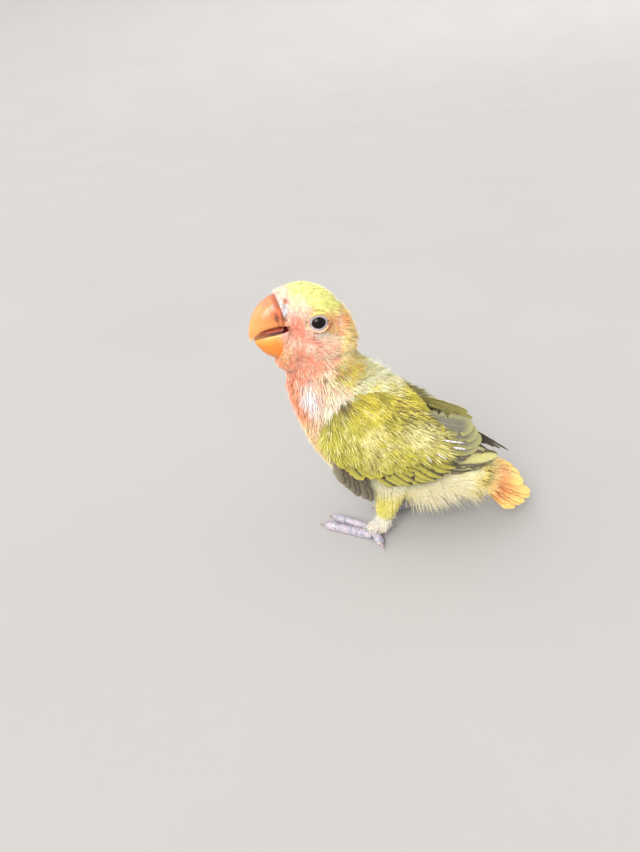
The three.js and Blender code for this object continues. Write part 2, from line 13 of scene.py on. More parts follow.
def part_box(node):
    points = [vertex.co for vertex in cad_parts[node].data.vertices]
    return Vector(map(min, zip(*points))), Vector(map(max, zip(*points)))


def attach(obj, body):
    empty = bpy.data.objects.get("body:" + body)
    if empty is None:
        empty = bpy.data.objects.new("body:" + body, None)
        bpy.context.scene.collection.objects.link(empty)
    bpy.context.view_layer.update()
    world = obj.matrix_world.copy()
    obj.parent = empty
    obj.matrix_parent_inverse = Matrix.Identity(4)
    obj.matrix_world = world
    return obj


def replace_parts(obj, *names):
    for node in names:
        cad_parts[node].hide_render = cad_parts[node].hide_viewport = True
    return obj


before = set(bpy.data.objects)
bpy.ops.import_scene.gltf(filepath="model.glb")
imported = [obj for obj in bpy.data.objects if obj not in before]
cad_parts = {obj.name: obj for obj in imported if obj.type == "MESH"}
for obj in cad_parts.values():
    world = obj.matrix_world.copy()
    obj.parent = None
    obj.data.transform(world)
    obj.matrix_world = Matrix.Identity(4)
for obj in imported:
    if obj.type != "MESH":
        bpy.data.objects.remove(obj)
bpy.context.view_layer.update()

MM = 0.001
rng = np.random.default_rng(11)
SIDES = {"left": -1.0, "right": 1.0}

# Head
HEAD_AT = np.array([-11.0, 0.0, 86.0])
HEAD_TURN = math.radians(25)
HEAD_STARTS = (70.5, 75.5)  # heights between which the neck's plumage becomes the head's
HEAD_SLANT = 0.35
EYE_AT = np.array([-5.4, 11.7, 3.9])
EYE_FACES = np.array([-0.16, 0.96, 0.2])
EYE_RADIUS = 3.6
EYE_BULGE = 0.75
PUPIL_EDGE = (1.45, 1.65)
BALL_EDGE = (2.85, 3.05)  # the lids cover the ball outside this
NOSTRIL_AT = np.array([-13.4, 4.4, 10.6])
LID_OPENS = 0.8  # height of the eye's opening as a share of its width

# Bill stations: ridge x and z, cutting edge x and z, half width
UPPER_BILL = [
    (-8, 12.0, -8, 2.9, 6.1),
    (-12.3, 12.7, -11.6, 2.8, 6.3),
    (-15.5, 12.5, -14.2, 3.0, 6.2),
    (-18.5, 11.6, -16.8, 3.4, 5.9),
    (-21.3, 9.9, -19.4, 3.2, 5.3),
    (-23.6, 7.5, -21.6, 2.7, 4.3),
    (-25.1, 4.9, -23.2, 1.9, 3.2),
    (-25.9, 2.8, -24.3, 0.8, 2.2),
    (-26.3, 0.9, -25.2, -0.3, 1.2),
    (-26.4, -1.3, -26.0, -1.3, 0.3),
]
LOWER_BILL = [
    (-11, -8, -10, 1.4, 5.4),
    (-16.2, -9.1, -13.5, 1.1, 5.6),
    (-18.7, -8.9, -15.9, 0.8, 5.5),
    (-20.8, -7.8, -18.2, 0.5, 5),
    (-22.5, -6.1, -20.5, 0.2, 4.2),
    (-23.8, -4.3, -22.6, -0.3, 3.1),
    (-24.6, -2.8, -24.1, -0.9, 1.8),
    (-24.9, -1.7, -24.8, -1.4, 0.4),
]

# Folded wings: where each starts, how it slopes, and how far its upper half is drawn together
WINGS = {
    "left": {"x": -10.0, "z": 56.0, "slope": math.radians(22.9), "tuck": 1.0},
    "right": {"x": -8.4, "z": 54.4, "slope": math.radians(27.5), "tuck": 0.74},
}
# The face that their feathers lie on: an arch across the wing, FLANK from the middle plane at its KEEL,
# which closes in behind STRAIGHT and rounds off before FRONT
WING_FLANK = 18.8
WING_KEEL = -12.0
WING_CAMBER = 0.0108
WING_STRAIGHT = 32.0
WING_CLOSES = 0.0105
WING_FRONT = 4.0
WING_ROUNDS = 0.06
WING_UNDER = 1.0  # depth of the arm under the face
# Arm and hand: distance along, low edge, high edge, thickness
WING_OUTLINE = [
    (-3.5, -9, -3, 0.8),
    (-1, -13.5, 3.5, 3),
    (5, -16.6, 9, 4.2),
    (13, -17.2, 11.2, 4.6),
    (22, -14.4, 11.2, 4.2),
    (30, -9.5, 9.4, 3.4),
    (37, -5, 7, 2.2),
    (42, -1.5, 4, 0.8),
]

# Where the covert feathers grow: distance along, low edge, high edge
COVERT_OUTLINE = [(-3.5, -7, -4), (0, -10, 4.5), (4, -11, 9.5), (8, -12, 12.3), (16, -11, 13.2), (24, -8, 12),
                  (32, -4, 8), (44, 0, 3)]

# Legs: roots of the feet, and the shank from them: x, y, z and radius
FEET = {"left": (-1.0, -11.0), "right": (19.5, 11.5)}
LEG_LEANS = {"left": 0.0, "right": -0.2}
ANKLE = 8.6
SHANK = [
    (6.2, -0.9, 11, 1.5),
    (4.6, -0.4, 7, 1.6),
    (2, 0, 3.6, 1.95),
    (0.5, 0, 1.8, 2.0),
    (-1.2, 0, 1.3, 1.3),
]
TOES = [
    {"name": "inner_front", "start": (-0.9, 1.95), "heading": 29, "length": 17, "pads": 3},
    {"name": "outer_front", "start": (-0.9, -1.75), "heading": 22, "length": 19.5, "pads": 4},
    {"name": "inner_hind", "start": (1.6, 1.7), "heading": 165, "length": 4.8, "pads": 2},
    {"name": "outer_hind", "start": (1.2, -1.8), "heading": 247, "length": 5, "pads": 2},
]
TOE_RADIUS = 1.75
TOE_FLAT = 0.3
# Share of the toe's length and distance past it, height over the toe's middle, share of its radius
TOE_PROFILE = [(0, -0.8, 0.3, 0.9), (0.3, 0, 0, 0.98), (0.6, 0, -0.04, 0.94), (0.9, 0, -0.1, 0.88),
               (1, 0, -0.1, 0.55), (1, 0.3, -0.1, 0.15)]
CLAW_LENGTH = 3.0

# Tail's fan
FAN_AT = np.array([42.0, 0.0, 20.0])
FAN_SLOPE = math.radians(24)
FAN_TILT = math.radians(24)


# Basics

def unit(v):
    return v / np.maximum(np.linalg.norm(v, axis=-1, keepdims=True), 1e-9)


def smooth_step(low, high, x):
    t = np.clip((x - low) / (high - low), 0, 1)
    return t * t * (3 - 2 * t)


def mix(a, b, share):
    return a + (b - a) * share


def blend(a, b, share):
    """Rows of a mixed with b, each by its own share."""
    return mix(a, b, share[:, None])


def lengths(rows):
    return np.linalg.norm(rows, axis=1)


def dot(a, b):
    """Products of two arrays' rows, as a column."""
    return np.einsum("ij,ij->i", a, b)[:, None]


def srgb(*channels):
    """A colour as it looks on screen, 0 to 255."""
    return np.array(channels, float) / 255


def linear(colour):
    """The same colour as light."""
    return np.where(colour <= 0.04045, colour / 12.92, ((np.maximum(colour, 0) + 0.055) / 1.055) ** 2.4)


def through(stations, count):
    """Points on a smooth curve through the stations."""
    p = np.asarray(stations, float)
    p = np.vstack([2 * p[0] - p[1], p, 2 * p[-1] - p[-2]])
    at = np.linspace(0, len(p) - 3 - 1e-9, count)
    i = at.astype(int)
    t = (at - i)[:, None]
    a, b, c, d = p[i], p[i + 1], p[i + 2], p[i + 3]
    return 0.5 * (2 * b + (c - a) * t + (2 * a - 5 * b + 4 * c - d) * t**2 + (3 * b - a - 3 * c + d) * t**3)


def turn_z(points, angle):
    c, s = math.cos(angle), math.sin(angle)
    return np.stack([points[..., 0] * c - points[..., 1] * s, points[..., 0] * s + points[..., 1] * c,
                     points[..., 2]], -1)


def from_head(points):
    return turn_z(np.asarray(points, float), HEAD_TURN) + HEAD_AT


def to_head(points):
    return turn_z(points - HEAD_AT, -HEAD_TURN)


def eye_middle(side):
    """Middle of an eyeball and the way it faces, in the head's frame."""
    faces = unit(EYE_FACES * (1, side, 1))
    return EYE_AT * (1, side, 1) + faces * (EYE_BULGE - EYE_RADIUS), faces


# The bird's frame in the model's: the left eye is at the same place in both
BIRD_AT = np.array(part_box("eye_left")).sum(0) / 2 / MM - from_head(eye_middle(-1)[0])


def noise_at(points, size, seed=0.0):
    """Smooth noise between about -1 and 1, with lumps of the given size."""
    shift = Vector((seed, 2 * seed, 3 * seed))
    return np.array([noise.noise(Vector(p) / size + shift) for p in points])


# Meshes

def put_in(name, data):
    """A new object in the scene."""
    item = bpy.data.objects.new(name, data)
    bpy.context.scene.collection.objects.link(item)
    return item


def make(name, points, triangles, material, colour, uv=None, barb=None, normals=None):
    """A piece of the bird, from points in millimetres and triangles."""
    mesh = bpy.data.meshes.new(name)
    mesh.vertices.add(len(points))
    mesh.vertices.foreach_set("co", ((points + BIRD_AT) * MM).astype(np.float32).ravel())
    mesh.loops.add(triangles.size)
    mesh.loops.foreach_set("vertex_index", triangles.astype(np.int32).ravel())
    mesh.polygons.add(len(triangles))
    mesh.polygons.foreach_set("loop_start", np.arange(0, triangles.size, 3, dtype=np.int32))
    mesh.update(calc_edges=True)
    mesh.shade_smooth()
    rgba = np.concatenate([linear(np.clip(colour, 0, 1)), np.ones((len(points), 1))], 1)
    layer = mesh.color_attributes.new("Plumage", "FLOAT_COLOR", "POINT")
    layer.data.foreach_set("color", rgba.astype(np.float32).ravel())
    if uv is not None:
        corners = uv if len(uv) == triangles.size else uv[triangles.ravel()]
        mesh.uv_layers.new(name="OFBake").data.foreach_set("uv", corners.astype(np.float32).ravel())
    if barb is not None:
        mesh.attributes.new("barb", "FLOAT", "POINT").data.foreach_set("value", barb.astype(np.float32))
    if normals is not None:
        mesh.normals_split_custom_set_from_vertices(normals.tolist())
    mesh.materials.append(material)
    piece = put_in(name, mesh)
    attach(piece, "root")
    return piece


def walls(count, sides, rows):
    """Triangles from ring to ring, for as many rows as asked. The ring after the last is the first."""
    r, i = np.meshgrid(np.arange(rows), np.arange(sides), indexing="ij")
    here, there = r * sides, (r + 1) % count * sides
    a, b, c, d = here + i, here + (i + 1) % sides, there + i, there + (i + 1) % sides
    return np.concatenate([np.stack(corners, -1).reshape(-1, 3) for corners in ((a, b, d), (a, d, c))])


def loft(rings):
    """A closed skin through rings, an array of rings by points by 3."""
    count, sides = rings.shape[:2]
    points = np.concatenate([rings.reshape(-1, 3), rings[[0, -1]].mean(1)])
    i = np.arange(sides)
    j = (i + 1) % sides
    last = (count - 1) * sides
    first_cap = np.stack([np.full(sides, count * sides), j, i], 1)
    last_cap = np.stack([np.full(sides, count * sides + 1), last + i, last + j], 1)
    return points, turned_out(points, np.concatenate([walls(count, sides, count - 1), first_cap, last_cap]))


def turned_out(points, triangles):
    """The triangles with their faces pointing out."""
    a, b, c = (points[triangles[:, k]] for k in range(3))
    return triangles if dot(a, np.cross(b, c)).sum() > 0 else triangles[:, ::-1]


def joined(shapes):
    """Several lists of arrays, points and triangles first, as one."""
    start = np.cumsum([0] + [len(s[0]) for s in shapes[:-1]])
    triangles = np.concatenate([s[1] + k for s, k in zip(shapes, start)])
    others = [np.concatenate(column) for column in list(zip(*shapes))[2:]]
    return [np.concatenate([s[0] for s in shapes]), triangles, *others]


def read(items, key, width=3, kind=np.float32):
    """One attribute of all the items of a mesh, as rows."""
    values = np.empty(len(items) * width, kind)
    items.foreach_get(key, values)
    return values.reshape(-1, width)


def held(points, triangles):
    """A shape as an object and its mesh, for Blender's own tools to work on."""
    mesh = bpy.data.meshes.new("held")
    mesh.from_pydata(points.tolist(), [], triangles.tolist())
    return put_in("held", mesh), mesh


def cad_shape(node):
    """Points, in millimetres in the bird's frame, and triangles of a solid."""
    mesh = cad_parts[node].data
    mesh.calc_loop_triangles()
    return [read(mesh.vertices, "co") / MM - BIRD_AT, read(mesh.loop_triangles, "vertices", kind=np.int32)]


def remeshed(points, triangles, size, rounds):
    """The shape as one even, smooth surface."""
    holder, mesh = held(points, triangles)
    even = holder.modifiers.new("even", "REMESH")
    even.mode = "VOXEL"
    even.voxel_size = size
    relax = holder.modifiers.new("relax", "SMOOTH")
    relax.factor = 0.5
    relax.iterations = rounds
    holder.modifiers.new("split", "TRIANGULATE")
    done = bpy.data.meshes.new_from_object(holder.evaluated_get(bpy.context.evaluated_depsgraph_get()))
    points = read(done.vertices, "co").astype(float)
    triangles = read(done.polygons, "vertices", kind=np.int32)
    bpy.data.objects.remove(holder)
    bpy.data.meshes.remove(mesh)
    bpy.data.meshes.remove(done)
    return points, triangles


def vertex_normals(points, triangles):
    a, b, c = (points[triangles[:, k]] for k in range(3))
    flat = np.cross(b - a, c - a)
    normals = np.zeros_like(points)
    for k in range(3):
        np.add.at(normals, triangles[:, k], flat)
    return unit(normals)


class Surface:
    """A shape that feathers can grow from."""
    TRIES = 4  # random spots for each cell of the spacing, of which one is kept

    def __init__(self, points, triangles):
        self.points = points
        self.triangles = triangles
        self.middles = points[triangles].mean(1)
        self.normals = vertex_normals(points, triangles)
        self.tree = BVHTree.FromPolygons(points.tolist(), triangles.tolist())

    def spots(self, triangles, share):
        """Points and normals, given triangles and the shares of their corners."""
        corners = self.triangles[triangles]
        points = np.einsum("ij,ijk->ik", share, self.points[corners])
        return points, unit(np.einsum("ij,ijk->ik", share, self.normals[corners]))

    def nearest(self, points):
        """The surface's nearest places, with its normals there."""
        found = [self.tree.find_nearest(p) for p in points.tolist()]
        return np.array([f[0] for f in found]), np.array([f[1] for f in found])

    def scattered(self, spacing, chosen):
        """Spots spread evenly over the chosen triangles."""
        use = np.flatnonzero(chosen)
        a, b, c = self.points[self.triangles[use]].transpose(1, 0, 2)
        area = 0.5 * lengths(np.cross(b - a, c - a))
        count = int(self.TRIES * area.sum() / spacing**2)
        pick = rng.choice(len(use), count, p=area / area.sum())
        u, v = rng.random((2, count))
        over = u + v > 1
        u, v = np.where(over, 1 - u, u), np.where(over, 1 - v, v)
        share = np.stack([1 - u - v, u, v], 1)
        cells = np.floor(self.spots(use[pick], share)[0] / spacing).astype(int)
        keep = np.sort(np.unique(cells, axis=0, return_index=True)[1])
        return self.spots(use[pick[keep]], share[keep])


def unwrap(points, triangles):
    """A map of the shape, as u and v at each triangle's corners."""
    holder, mesh = held(points, triangles)
    bpy.context.view_layer.objects.active = holder
    holder.select_set(True)
    mesh.uv_layers.new(name="OFBake")
    bpy.ops.object.mode_set(mode="EDIT")
    bpy.ops.mesh.select_all(action="SELECT")
    bpy.ops.uv.smart_project(angle_limit=math.radians(66), island_margin=0.004)
    bpy.ops.object.mode_set(mode="OBJECT")
    uv = read(mesh.uv_layers["OFBake"].data, "uv", 2)
    bpy.data.objects.remove(holder)
    bpy.data.meshes.remove(mesh)
    return uv


# Wings and tail as faces to lay feathers on

def wing_surface(name, s, h):
    """Points on the folded wing's outer face: distance along the wing and across it."""
    wing = WINGS[name]
    h = np.where(h > 0, h * wing["tuck"], h)
    width = (WING_FLANK - WING_CAMBER * (h - WING_KEEL) ** 2
             - WING_CLOSES * np.maximum(0, s - WING_STRAIGHT) ** 2
             - WING_ROUNDS * np.maximum(0, WING_FRONT - s) ** 2)
    c, t = math.cos(wing["slope"]), math.sin(wing["slope"])
    return np.stack([wing["x"] + s * c + h * t, SIDES[name] * width, wing["z"] - s * t + h * c], -1)


def wing_point(name, s, h, lift):
    """Points raised from the wing's outer face by lift."""
    s, h, lift = np.broadcast_arrays(*(np.asarray(v, float) for v in (s, h, lift)))
    here = wing_surface(name, s, h)
    out = unit(np.cross(wing_surface(name, s, h + 0.1) - here, wing_surface(name, s + 0.1, h) - here))
    out = np.where(out[..., 1:2] * SIDES[name] < 0, -out, out)
    return here + out * lift[..., None]


def wing_place(name, points):
    """Distance along the wing, across it, and height over its face."""
    wing = WINGS[name]
    c, t = math.cos(wing["slope"]), math.sin(wing["slope"])
    x, z = points[:, 0] - wing["x"], points[:, 2] - wing["z"]
    s, h = x * c - z * t, x * t + z * c
    h = np.where(h > 0, h / wing["tuck"], h)
    return s, h, points[:, 1] * SIDES[name] - wing_surface(name, s, h)[:, 1] * SIDES[name]


def fan_point(back, right, lift):
    """Points of the tail's fan: backwards, to the right, and raised from it."""
    back, right, lift = np.broadcast_arrays(*(np.asarray(v, float) for v in (back, right, lift)))
    c, s = math.cos(FAN_TILT), math.sin(FAN_TILT)
    y, z = right * c - lift * s, right * s + lift * c
    c, s = math.cos(FAN_SLOPE), math.sin(FAN_SLOPE)
    return np.stack([back * c + z * s, y, -back * s + z * c], -1) + FAN_AT


def edges_at(outline, s):
    """Low and high edge of an outline at distances along it."""
    along, low_edge, high_edge = np.array([station[:3] for station in outline], float).T
    return np.interp(s, along, low_edge), np.interp(s, along, high_edge)


def arm_shape(name):
    """The arm and hand as one cushion under the coverts."""
    rings = []
    for s, low_edge, high_edge, thick in through(WING_OUTLINE, 15):
        angle = np.linspace(0, math.pi, 11)
        h = low_edge + (high_edge - low_edge) * (0.5 - 0.5 * np.cos(angle))
        full = np.sin(angle)
        outer = wing_point(name, s, h, thick * (0.3 * full - 0.3) - WING_UNDER)
        inner = wing_point(name, s, h, -thick * (0.3 + 0.7 * full) - WING_UNDER)
        rings.append(np.concatenate([outer, inner[-2:0:-1]]))
    return list(loft(np.array(rings)))


# Where the bird has which colour, and one mark of painted light under the eye: middle of a mark, its reach,
# colour and strength. Both sides are alike, so y is the distance from the middle plane.
HEAD_BASE = srgb(250, 206, 116)
HEAD_MARKS = [
    ((-6, 9, -12), (14, 12, 10), (248, 180, 138), 1.0),
    ((-14, 0, -16), (12, 12, 10), (244, 138, 108), 1.0),
    ((-10, 9, -2), (9, 9, 8), (252, 192, 166), 1.0),
    ((-12, 4, -9), (6, 9, 7), (246, 158, 126), 1.0),
    ((-1, 11, -5), (9, 9, 4.5), (253, 210, 176), 0.9),
    ((4, 11, -6), (6, 9, 6), (254, 228, 146), 0.9),
    ((2, 11, 3.5), (6.5, 8, 4.5), (250, 172, 122), 0.95),
    ((9, 0, -3), (7, 12, 11), (250, 200, 104), 0.7),
    ((-3, 0, 12.5), (12.5, 18, 10.5), (250, 244, 146), 1.0),
    ((1, 8, 11), (7, 8, 5.5), (244, 250, 134), 0.6),
    ((-15, 0, 12), (3.6, 11, 5), (246, 226, 204), 0.9),
    ((-10.4, 8.5, 6.2), (4.8, 5, 3.6), (250, 198, 176), 0.9),
    ((-13.4, 6.5, 6.0), (2.4, 5, 3.4), (248, 204, 186), 0.9),
    ((-12.5, 8.5, 2.6), (2.6, 4.5, 4.0), (242, 142, 116), 0.9),
    ((-8.6, 11.2, -1.6), (3.0, 5, 2.0), (246, 146, 122), 0.7),
    # Cream under the eye, partly painted light that lifts the shade of the hollow below the lid ring
    ((-5.4, 12, -0.6), (2.8, 4, 1.9), (255, 226, 206), 0.95),
    ((-12.0, 7, 9.8), (2.8, 4, 3.0), (251, 234, 200), 0.7),
]
BODY_BASE = srgb(246, 236, 196)
BODY_MARKS = [
    ((-22, 0, 64), (14, 16, 15), (242, 142, 98), 1.0),
    ((-18, 0, 47), (12, 15, 11), (250, 204, 144), 0.95),
    ((-9, 4, 38), (9, 14, 8), (232, 220, 134), 0.8),
    ((-3, 9, 72), (8, 9, 6), (218, 200, 78), 0.9),
    ((-18.3, 13.2, 65), (4.2, 7, 8), (250, 246, 250), 1.0),
    ((-9, 15, 62), (6, 6, 6), (250, 240, 214), 0.8),
    ((1, 0, 63), (8, 17, 7), (255, 250, 196), 0.95),
    ((24, 0, 48), (19, 18, 13), (218, 204, 50), 0.95),
    ((15, 0, 55), (9, 13, 6.5), (218, 204, 60), 0.8),
    ((-17.5, 10, 42.5), (5, 6, 6.5), (206, 180, 108), 0.8),
    ((40, 0, 17), (12, 14, 9), (255, 224, 96), 1.0),
    ((18, 12, 19), (19, 12, 9), (252, 236, 186), 0.95),
]
# Where some barbs have dark ends: place, reach and how many
DARK_MARKS = [
    ((-1, 11, 77.5), (4.5, 6, 4.5), 0.55),
    ((-8, 12, 73), (6, 6, 4), 0.34),
    ((-9, 12, 76), (6, 6, 5), 0.06),
    ((-3, 12, 68), (6, 6, 4), 0.2),
    ((13, 11, 57), (9, 9, 6), 0.34),
    ((22, 9, 52), (11, 9, 7), 0.4),
    ((28, 19, 33), (10, 6, 7), 0.3),
    ((12, 20, 36), (12, 6, 8), 0.1),
    ((2, 20, 42), (8, 6, 10), 0.06),
]
THIGH_COLOUR = srgb(224, 212, 104)
WING_BASE = srgb(182, 172, 72)
# Marks of the wing, one of them a painted shadow: along and across it, their reach, colour and strength
WING_MARKS = [
    ((3, -6), (7, 10), (198, 190, 76), 0.8),
    ((7, 8), (9, 5), (216, 198, 66), 0.9),
    ((14, -1), (7, 4.5), (238, 222, 148), 0.8),
    ((18, -8), (7, 4), (216, 206, 138), 0.6),
    ((25, -7), (9, 7), (190, 180, 62), 0.7),
    ((28, 4), (8, 5), (226, 216, 156), 0.8),
    ((10, -14), (9, 4), (174, 166, 58), 0.6),
    ((-3, -12), (3, 5), (216, 206, 114), 0.6),
    ((6, 13), (8, 1.6), (140, 128, 40), 0.7),
    ((22, 12), (9, 3), (236, 216, 84), 0.8),
    # Painted shadow in the pit at the front of the wing's upper edge
    ((0.6, 7.5), (2.4, 3.4), (98, 86, 54), 0.85),
]


def in_mark(places, middle, reach, full):
    """1 in the middle of a mark, 0 outside it. Full is the share of its reach where it starts to fade."""
    return smooth_step(1.2, full, lengths((places - middle) / np.array(reach, float)))


def painted(base, marks, places):
    """The base colour with marks laid over it in turn."""
    colour = np.broadcast_to(base, (len(places), 3)).copy()
    for middle, reach, shade, strength in marks:
        colour = blend(colour, srgb(*shade), strength * in_mark(places, middle, reach, 0.55))
    return colour


def mirrored(points):
    """The points with y as distance from the middle plane."""
    return points * (1, 0, 1) + np.abs(points) * (0, 1, 0)


def darkness(points):
    """How many of the barbs at each point have dark ends."""
    places = mirrored(points)
    return np.max([most * in_mark(places, middle, reach, 0.5) for middle, reach, most in DARK_MARKS], axis=0)


def on_wing(name, points):
    """How surely a point belongs to the wing's outer side, from 0 to 1."""
    s, h, over = wing_place(name, points)
    bottom, top = edges_at(WING_OUTLINE, s)
    inside = smooth_step(-1.2, 0.4, np.minimum(h - bottom, top - h))
    inside = inside * smooth_step(-4.5, -3.5, s) * smooth_step(44, 42, s)
    return inside * smooth_step(-4.6, -3.6, over)


def head_share(points):
    """1 on the head, 0 on the body."""
    return smooth_step(*HEAD_STARTS, points[:, 2] - HEAD_SLANT * (points[:, 0] + 13))


def leg_share(points):
    """How surely a point belongs to a thigh, from 0 to 1."""
    share = np.zeros(len(points))
    for name, (x, y) in FEET.items():
        lean = LEG_LEANS[name] * (points[:, 2] - ANKLE)
        axis = np.stack([x + 6.8 + 0.1 * (points[:, 2] - 14) + lean, np.full(len(points), y * 1.05)], 1)
        distance = lengths(points[:, :2] - axis)
        share = np.maximum(share, smooth_step(7.5, 5.5, distance) * smooth_step(25, 20, points[:, 2]))
    return share


def plumage(points):
    """Colour of skin and coat at each point."""
    colour = painted(BODY_BASE, BODY_MARKS, mirrored(points))
    mottle = smooth_step(0.0, 0.4, noise_at(points, 3.4, 6.0)) * smooth_step(-3, 3, points[:, 0])
    mottle = mottle * smooth_step(44, 50, points[:, 2]) * smooth_step(66, 59, points[:, 2])
    colour = blend(colour, srgb(208, 190, 62), 0.6 * mottle)
    colour = blend(colour, THIGH_COLOUR, leg_share(points))
    head = painted(HEAD_BASE, HEAD_MARKS, mirrored(to_head(points)))
    colour = blend(colour, head, head_share(points))
    for name in SIDES:
        s, h, _ = wing_place(name, points)
        wing = painted(WING_BASE, WING_MARKS, np.stack([s, h], 1))
        colour = blend(colour, wing, on_wing(name, points))
    return colour


# Which way the coat lies: a place and a direction, with y as distance from the middle plane
HEAD_LIE = [
    ((-14, 0, 12), (0.6, 0.0, 0.8)),
    ((-12, 7, 9), (0.8, 0.3, 0.5)),
    ((-4, 0, 14), (1, 0, 0.05)),
    ((-4, 8, 10), (1, 0.1, -0.1)),
    ((4, 0, 10), (0.8, 0, -0.6)),
    ((4, 9, 4), (0.95, 0, -0.3)),
    ((9, 0, 0), (0.3, 0, -0.95)),
    ((8, 6, -6), (0.4, 0, -0.9)),
    ((-12, 9, 4), (0.95, 0.2, -0.2)),
    ((-8, 11, -3), (0.85, 0.1, -0.5)),
    ((0, 11, -5), (0.85, 0, -0.5)),
    ((-13, 8, -6), (0.75, 0.1, -0.65)),
    ((-6, 9, -11), (0.65, 0, -0.75)),
    ((-17, 0, -12), (0.3, 0, -0.95)),
    ((-12, 5, -14), (0.35, 0, -0.93)),
    ((2, 8, -12), (0.55, 0, -0.83)),
]
BODY_LIE = [
    ((-25, 0, 72), (0.05, 0, -1)),
    ((-25, 0, 60), (0.25, 0, -1)),
    ((-20, 8, 56), (0.3, 0.1, -0.95)),
    ((-17, 12, 68), (0.25, 0, -0.97)),
    ((-8, 12, 72), (0.45, 0, -0.9)),
    ((-2, 8, 72), (0.6, 0, -0.8)),
    ((-13, 14, 58), (0.3, 0.1, -0.95)),
    ((-17, 0, 44), (0.5, 0, -0.87)),
    ((-6, 0, 33), (0.8, 0, -0.6)),
    ((6, 0, 64), (0.8, 0, -0.6)),
    ((4, 12, 62), (0.85, 0.15, -0.5)),
    ((20, 0, 48), (0.9, 0, -0.45)),
    ((38, 0, 28), (0.92, 0, -0.4)),
    ((8, 0, 17), (1, 0, -0.1)),
    ((16, 13, 24), (0.6, 0, -0.8)),
    ((30, 8, 18), (0.95, 0, -0.2)),
    ((40, 0, 14), (0.95, 0, -0.1)),
]
LEG_LIE = np.array([-0.15, 0.0, -1.0])
# Directions on the wing: place along and across it, and direction
WING_LIE = [
    ((-2, -6), (0.35, -0.95)),
    ((0, 4), (0.8, -0.5)),
    ((6, -10), (0.6, -0.8)),
    ((8, 6), (0.95, -0.35)),
    ((16, -12), (0.75, -0.65)),
    ((18, 0), (0.88, -0.45)),
    ((20, 9), (1, -0.1)),
    ((30, -4), (0.95, -0.35)),
    ((32, 6), (1, -0.05)),
]
# How far each of these directions reaches
HEAD_COMB = 4.0
BODY_COMB = 6.0
WING_COMB = 5.0


def combed(guides, places, reach):
    """Directions blended from the nearest guides."""
    weight = np.stack([np.exp(-((places - place) ** 2).sum(1) / (2 * reach**2)) for place, _ in guides], 1)
    weight += 1e-9
    return unit(weight @ np.array([direction for _, direction in guides], float))


def combed_twice(guides, points, reach):
    """Directions that are alike on both sides of the middle plane."""
    flip = np.where(points[:, 1:2] < 0, -1.0, 1.0) * (0, 1, 0) + (1, 0, 1)
    return combed(guides, mirrored(points), reach) * flip


def lie(points, normals):
    """Direction of the coat along the surface."""
    body = blend(combed_twice(BODY_LIE, points, BODY_COMB), LEG_LIE, leg_share(points))
    at_head = to_head(points)
    head = turn_z(combed_twice(HEAD_LIE, at_head, HEAD_COMB), HEAD_TURN)
    direction = blend(body, head, head_share(points))
    for name, wing in WINGS.items():
        s, h, _ = wing_place(name, points)
        plan = combed(WING_LIE, np.stack([s, h], 1), WING_COMB)
        c, t = math.cos(wing["slope"]), math.sin(wing["slope"])
        there = np.stack([plan[:, 0] * c + plan[:, 1] * t, np.zeros(len(points)),
                          -plan[:, 0] * t + plan[:, 1] * c], 1)
        direction = blend(direction, there, on_wing(name, points))
    direction = unit(direction - normals * dot(direction, normals))
    for side in SIDES.values():
        outwards, near = round_eye(at_head, side)
        towards = np.minimum(dot(direction, outwards), 0) * near[:, None]
        direction = direction - outwards * (1.5 * towards)
    return unit(direction)


def round_eye(at_head, side):
    """Direction away from the eye's axis at each point, and nearness to the eye, from 0 to 1."""
    middle, faces = eye_middle(side)
    gap = at_head - middle
    aside = gap - faces * (gap @ faces)[:, None]
    distance = lengths(aside)
    near = smooth_step(6.0, 3.6, distance) * smooth_step(8, 7, lengths(gap))
    return turn_z(unit(aside), HEAD_TURN), near


# Materials

def set_up(node, settings):
    """Sets a node's sockets, whose names have underscores here, or its own attributes."""
    for key, value in settings.items():
        socket = key.replace("_", " ")
        if socket in node.inputs:
            node.inputs[socket].default_value = value
        else:
            setattr(node, key, value)
    return node


def shader(name, **settings):
    """A new material and its shader."""
    material = bpy.data.materials.new(name)
    material.use_nodes = True
    return material, set_up(material.node_tree.nodes["Principled BSDF"], settings)


def add(material, kind, **settings):
    return set_up(material.node_tree.nodes.new(kind), settings)


def link(material, source, target):
    material.node_tree.links.new(source, target)


def painted_shader(name, grain, dark, light, noise_range=(0.3, 0.7), detail=4.0, uneven=0.6, **settings):
    """A material with the mesh's own colour, made lighter and darker by fine noise."""
    material, principled = shader(name, **settings)
    paint = add(material, "ShaderNodeAttribute", attribute_name="Plumage")
    spot = add(material, "ShaderNodeTexCoord")
    fine = add(material, "ShaderNodeTexNoise", Scale=grain, Detail=detail, Roughness=uneven)
    reach = add(material, "ShaderNodeMapRange", From_Min=noise_range[0], From_Max=noise_range[1],
                To_Min=dark, To_Max=light)
    shade = add(material, "ShaderNodeVectorMath", operation="SCALE")
    link(material, spot.outputs["Object"], fine.inputs["Vector"])
    link(material, fine.outputs["Fac"], reach.inputs["Value"])
    link(material, paint.outputs["Color"], shade.inputs[0])
    link(material, reach.outputs["Result"], shade.inputs["Scale"])
    link(material, shade.outputs["Vector"], principled.inputs["Base Color"])
    return material


def bumped(material, relief, depth, strength):
    """Gives a material bumps from the output of one of its nodes, with their depth in metres."""
    bump = add(material, "ShaderNodeBump", Distance=depth, Strength=strength)
    link(material, relief, bump.inputs["Height"])
    link(material, bump.outputs["Normal"], material.node_tree.nodes["Principled BSDF"].inputs["Normal"])


def grained(material, depth, strength, kind="ShaderNodeTexNoise", output="Fac", **settings):
    """Gives a material a relief of fine noise or cells."""
    grain = add(material, kind, **settings)
    link(material, add(material, "ShaderNodeTexCoord").outputs["Object"], grain.inputs["Vector"])
    bumped(material, grain.outputs[output], depth, strength)


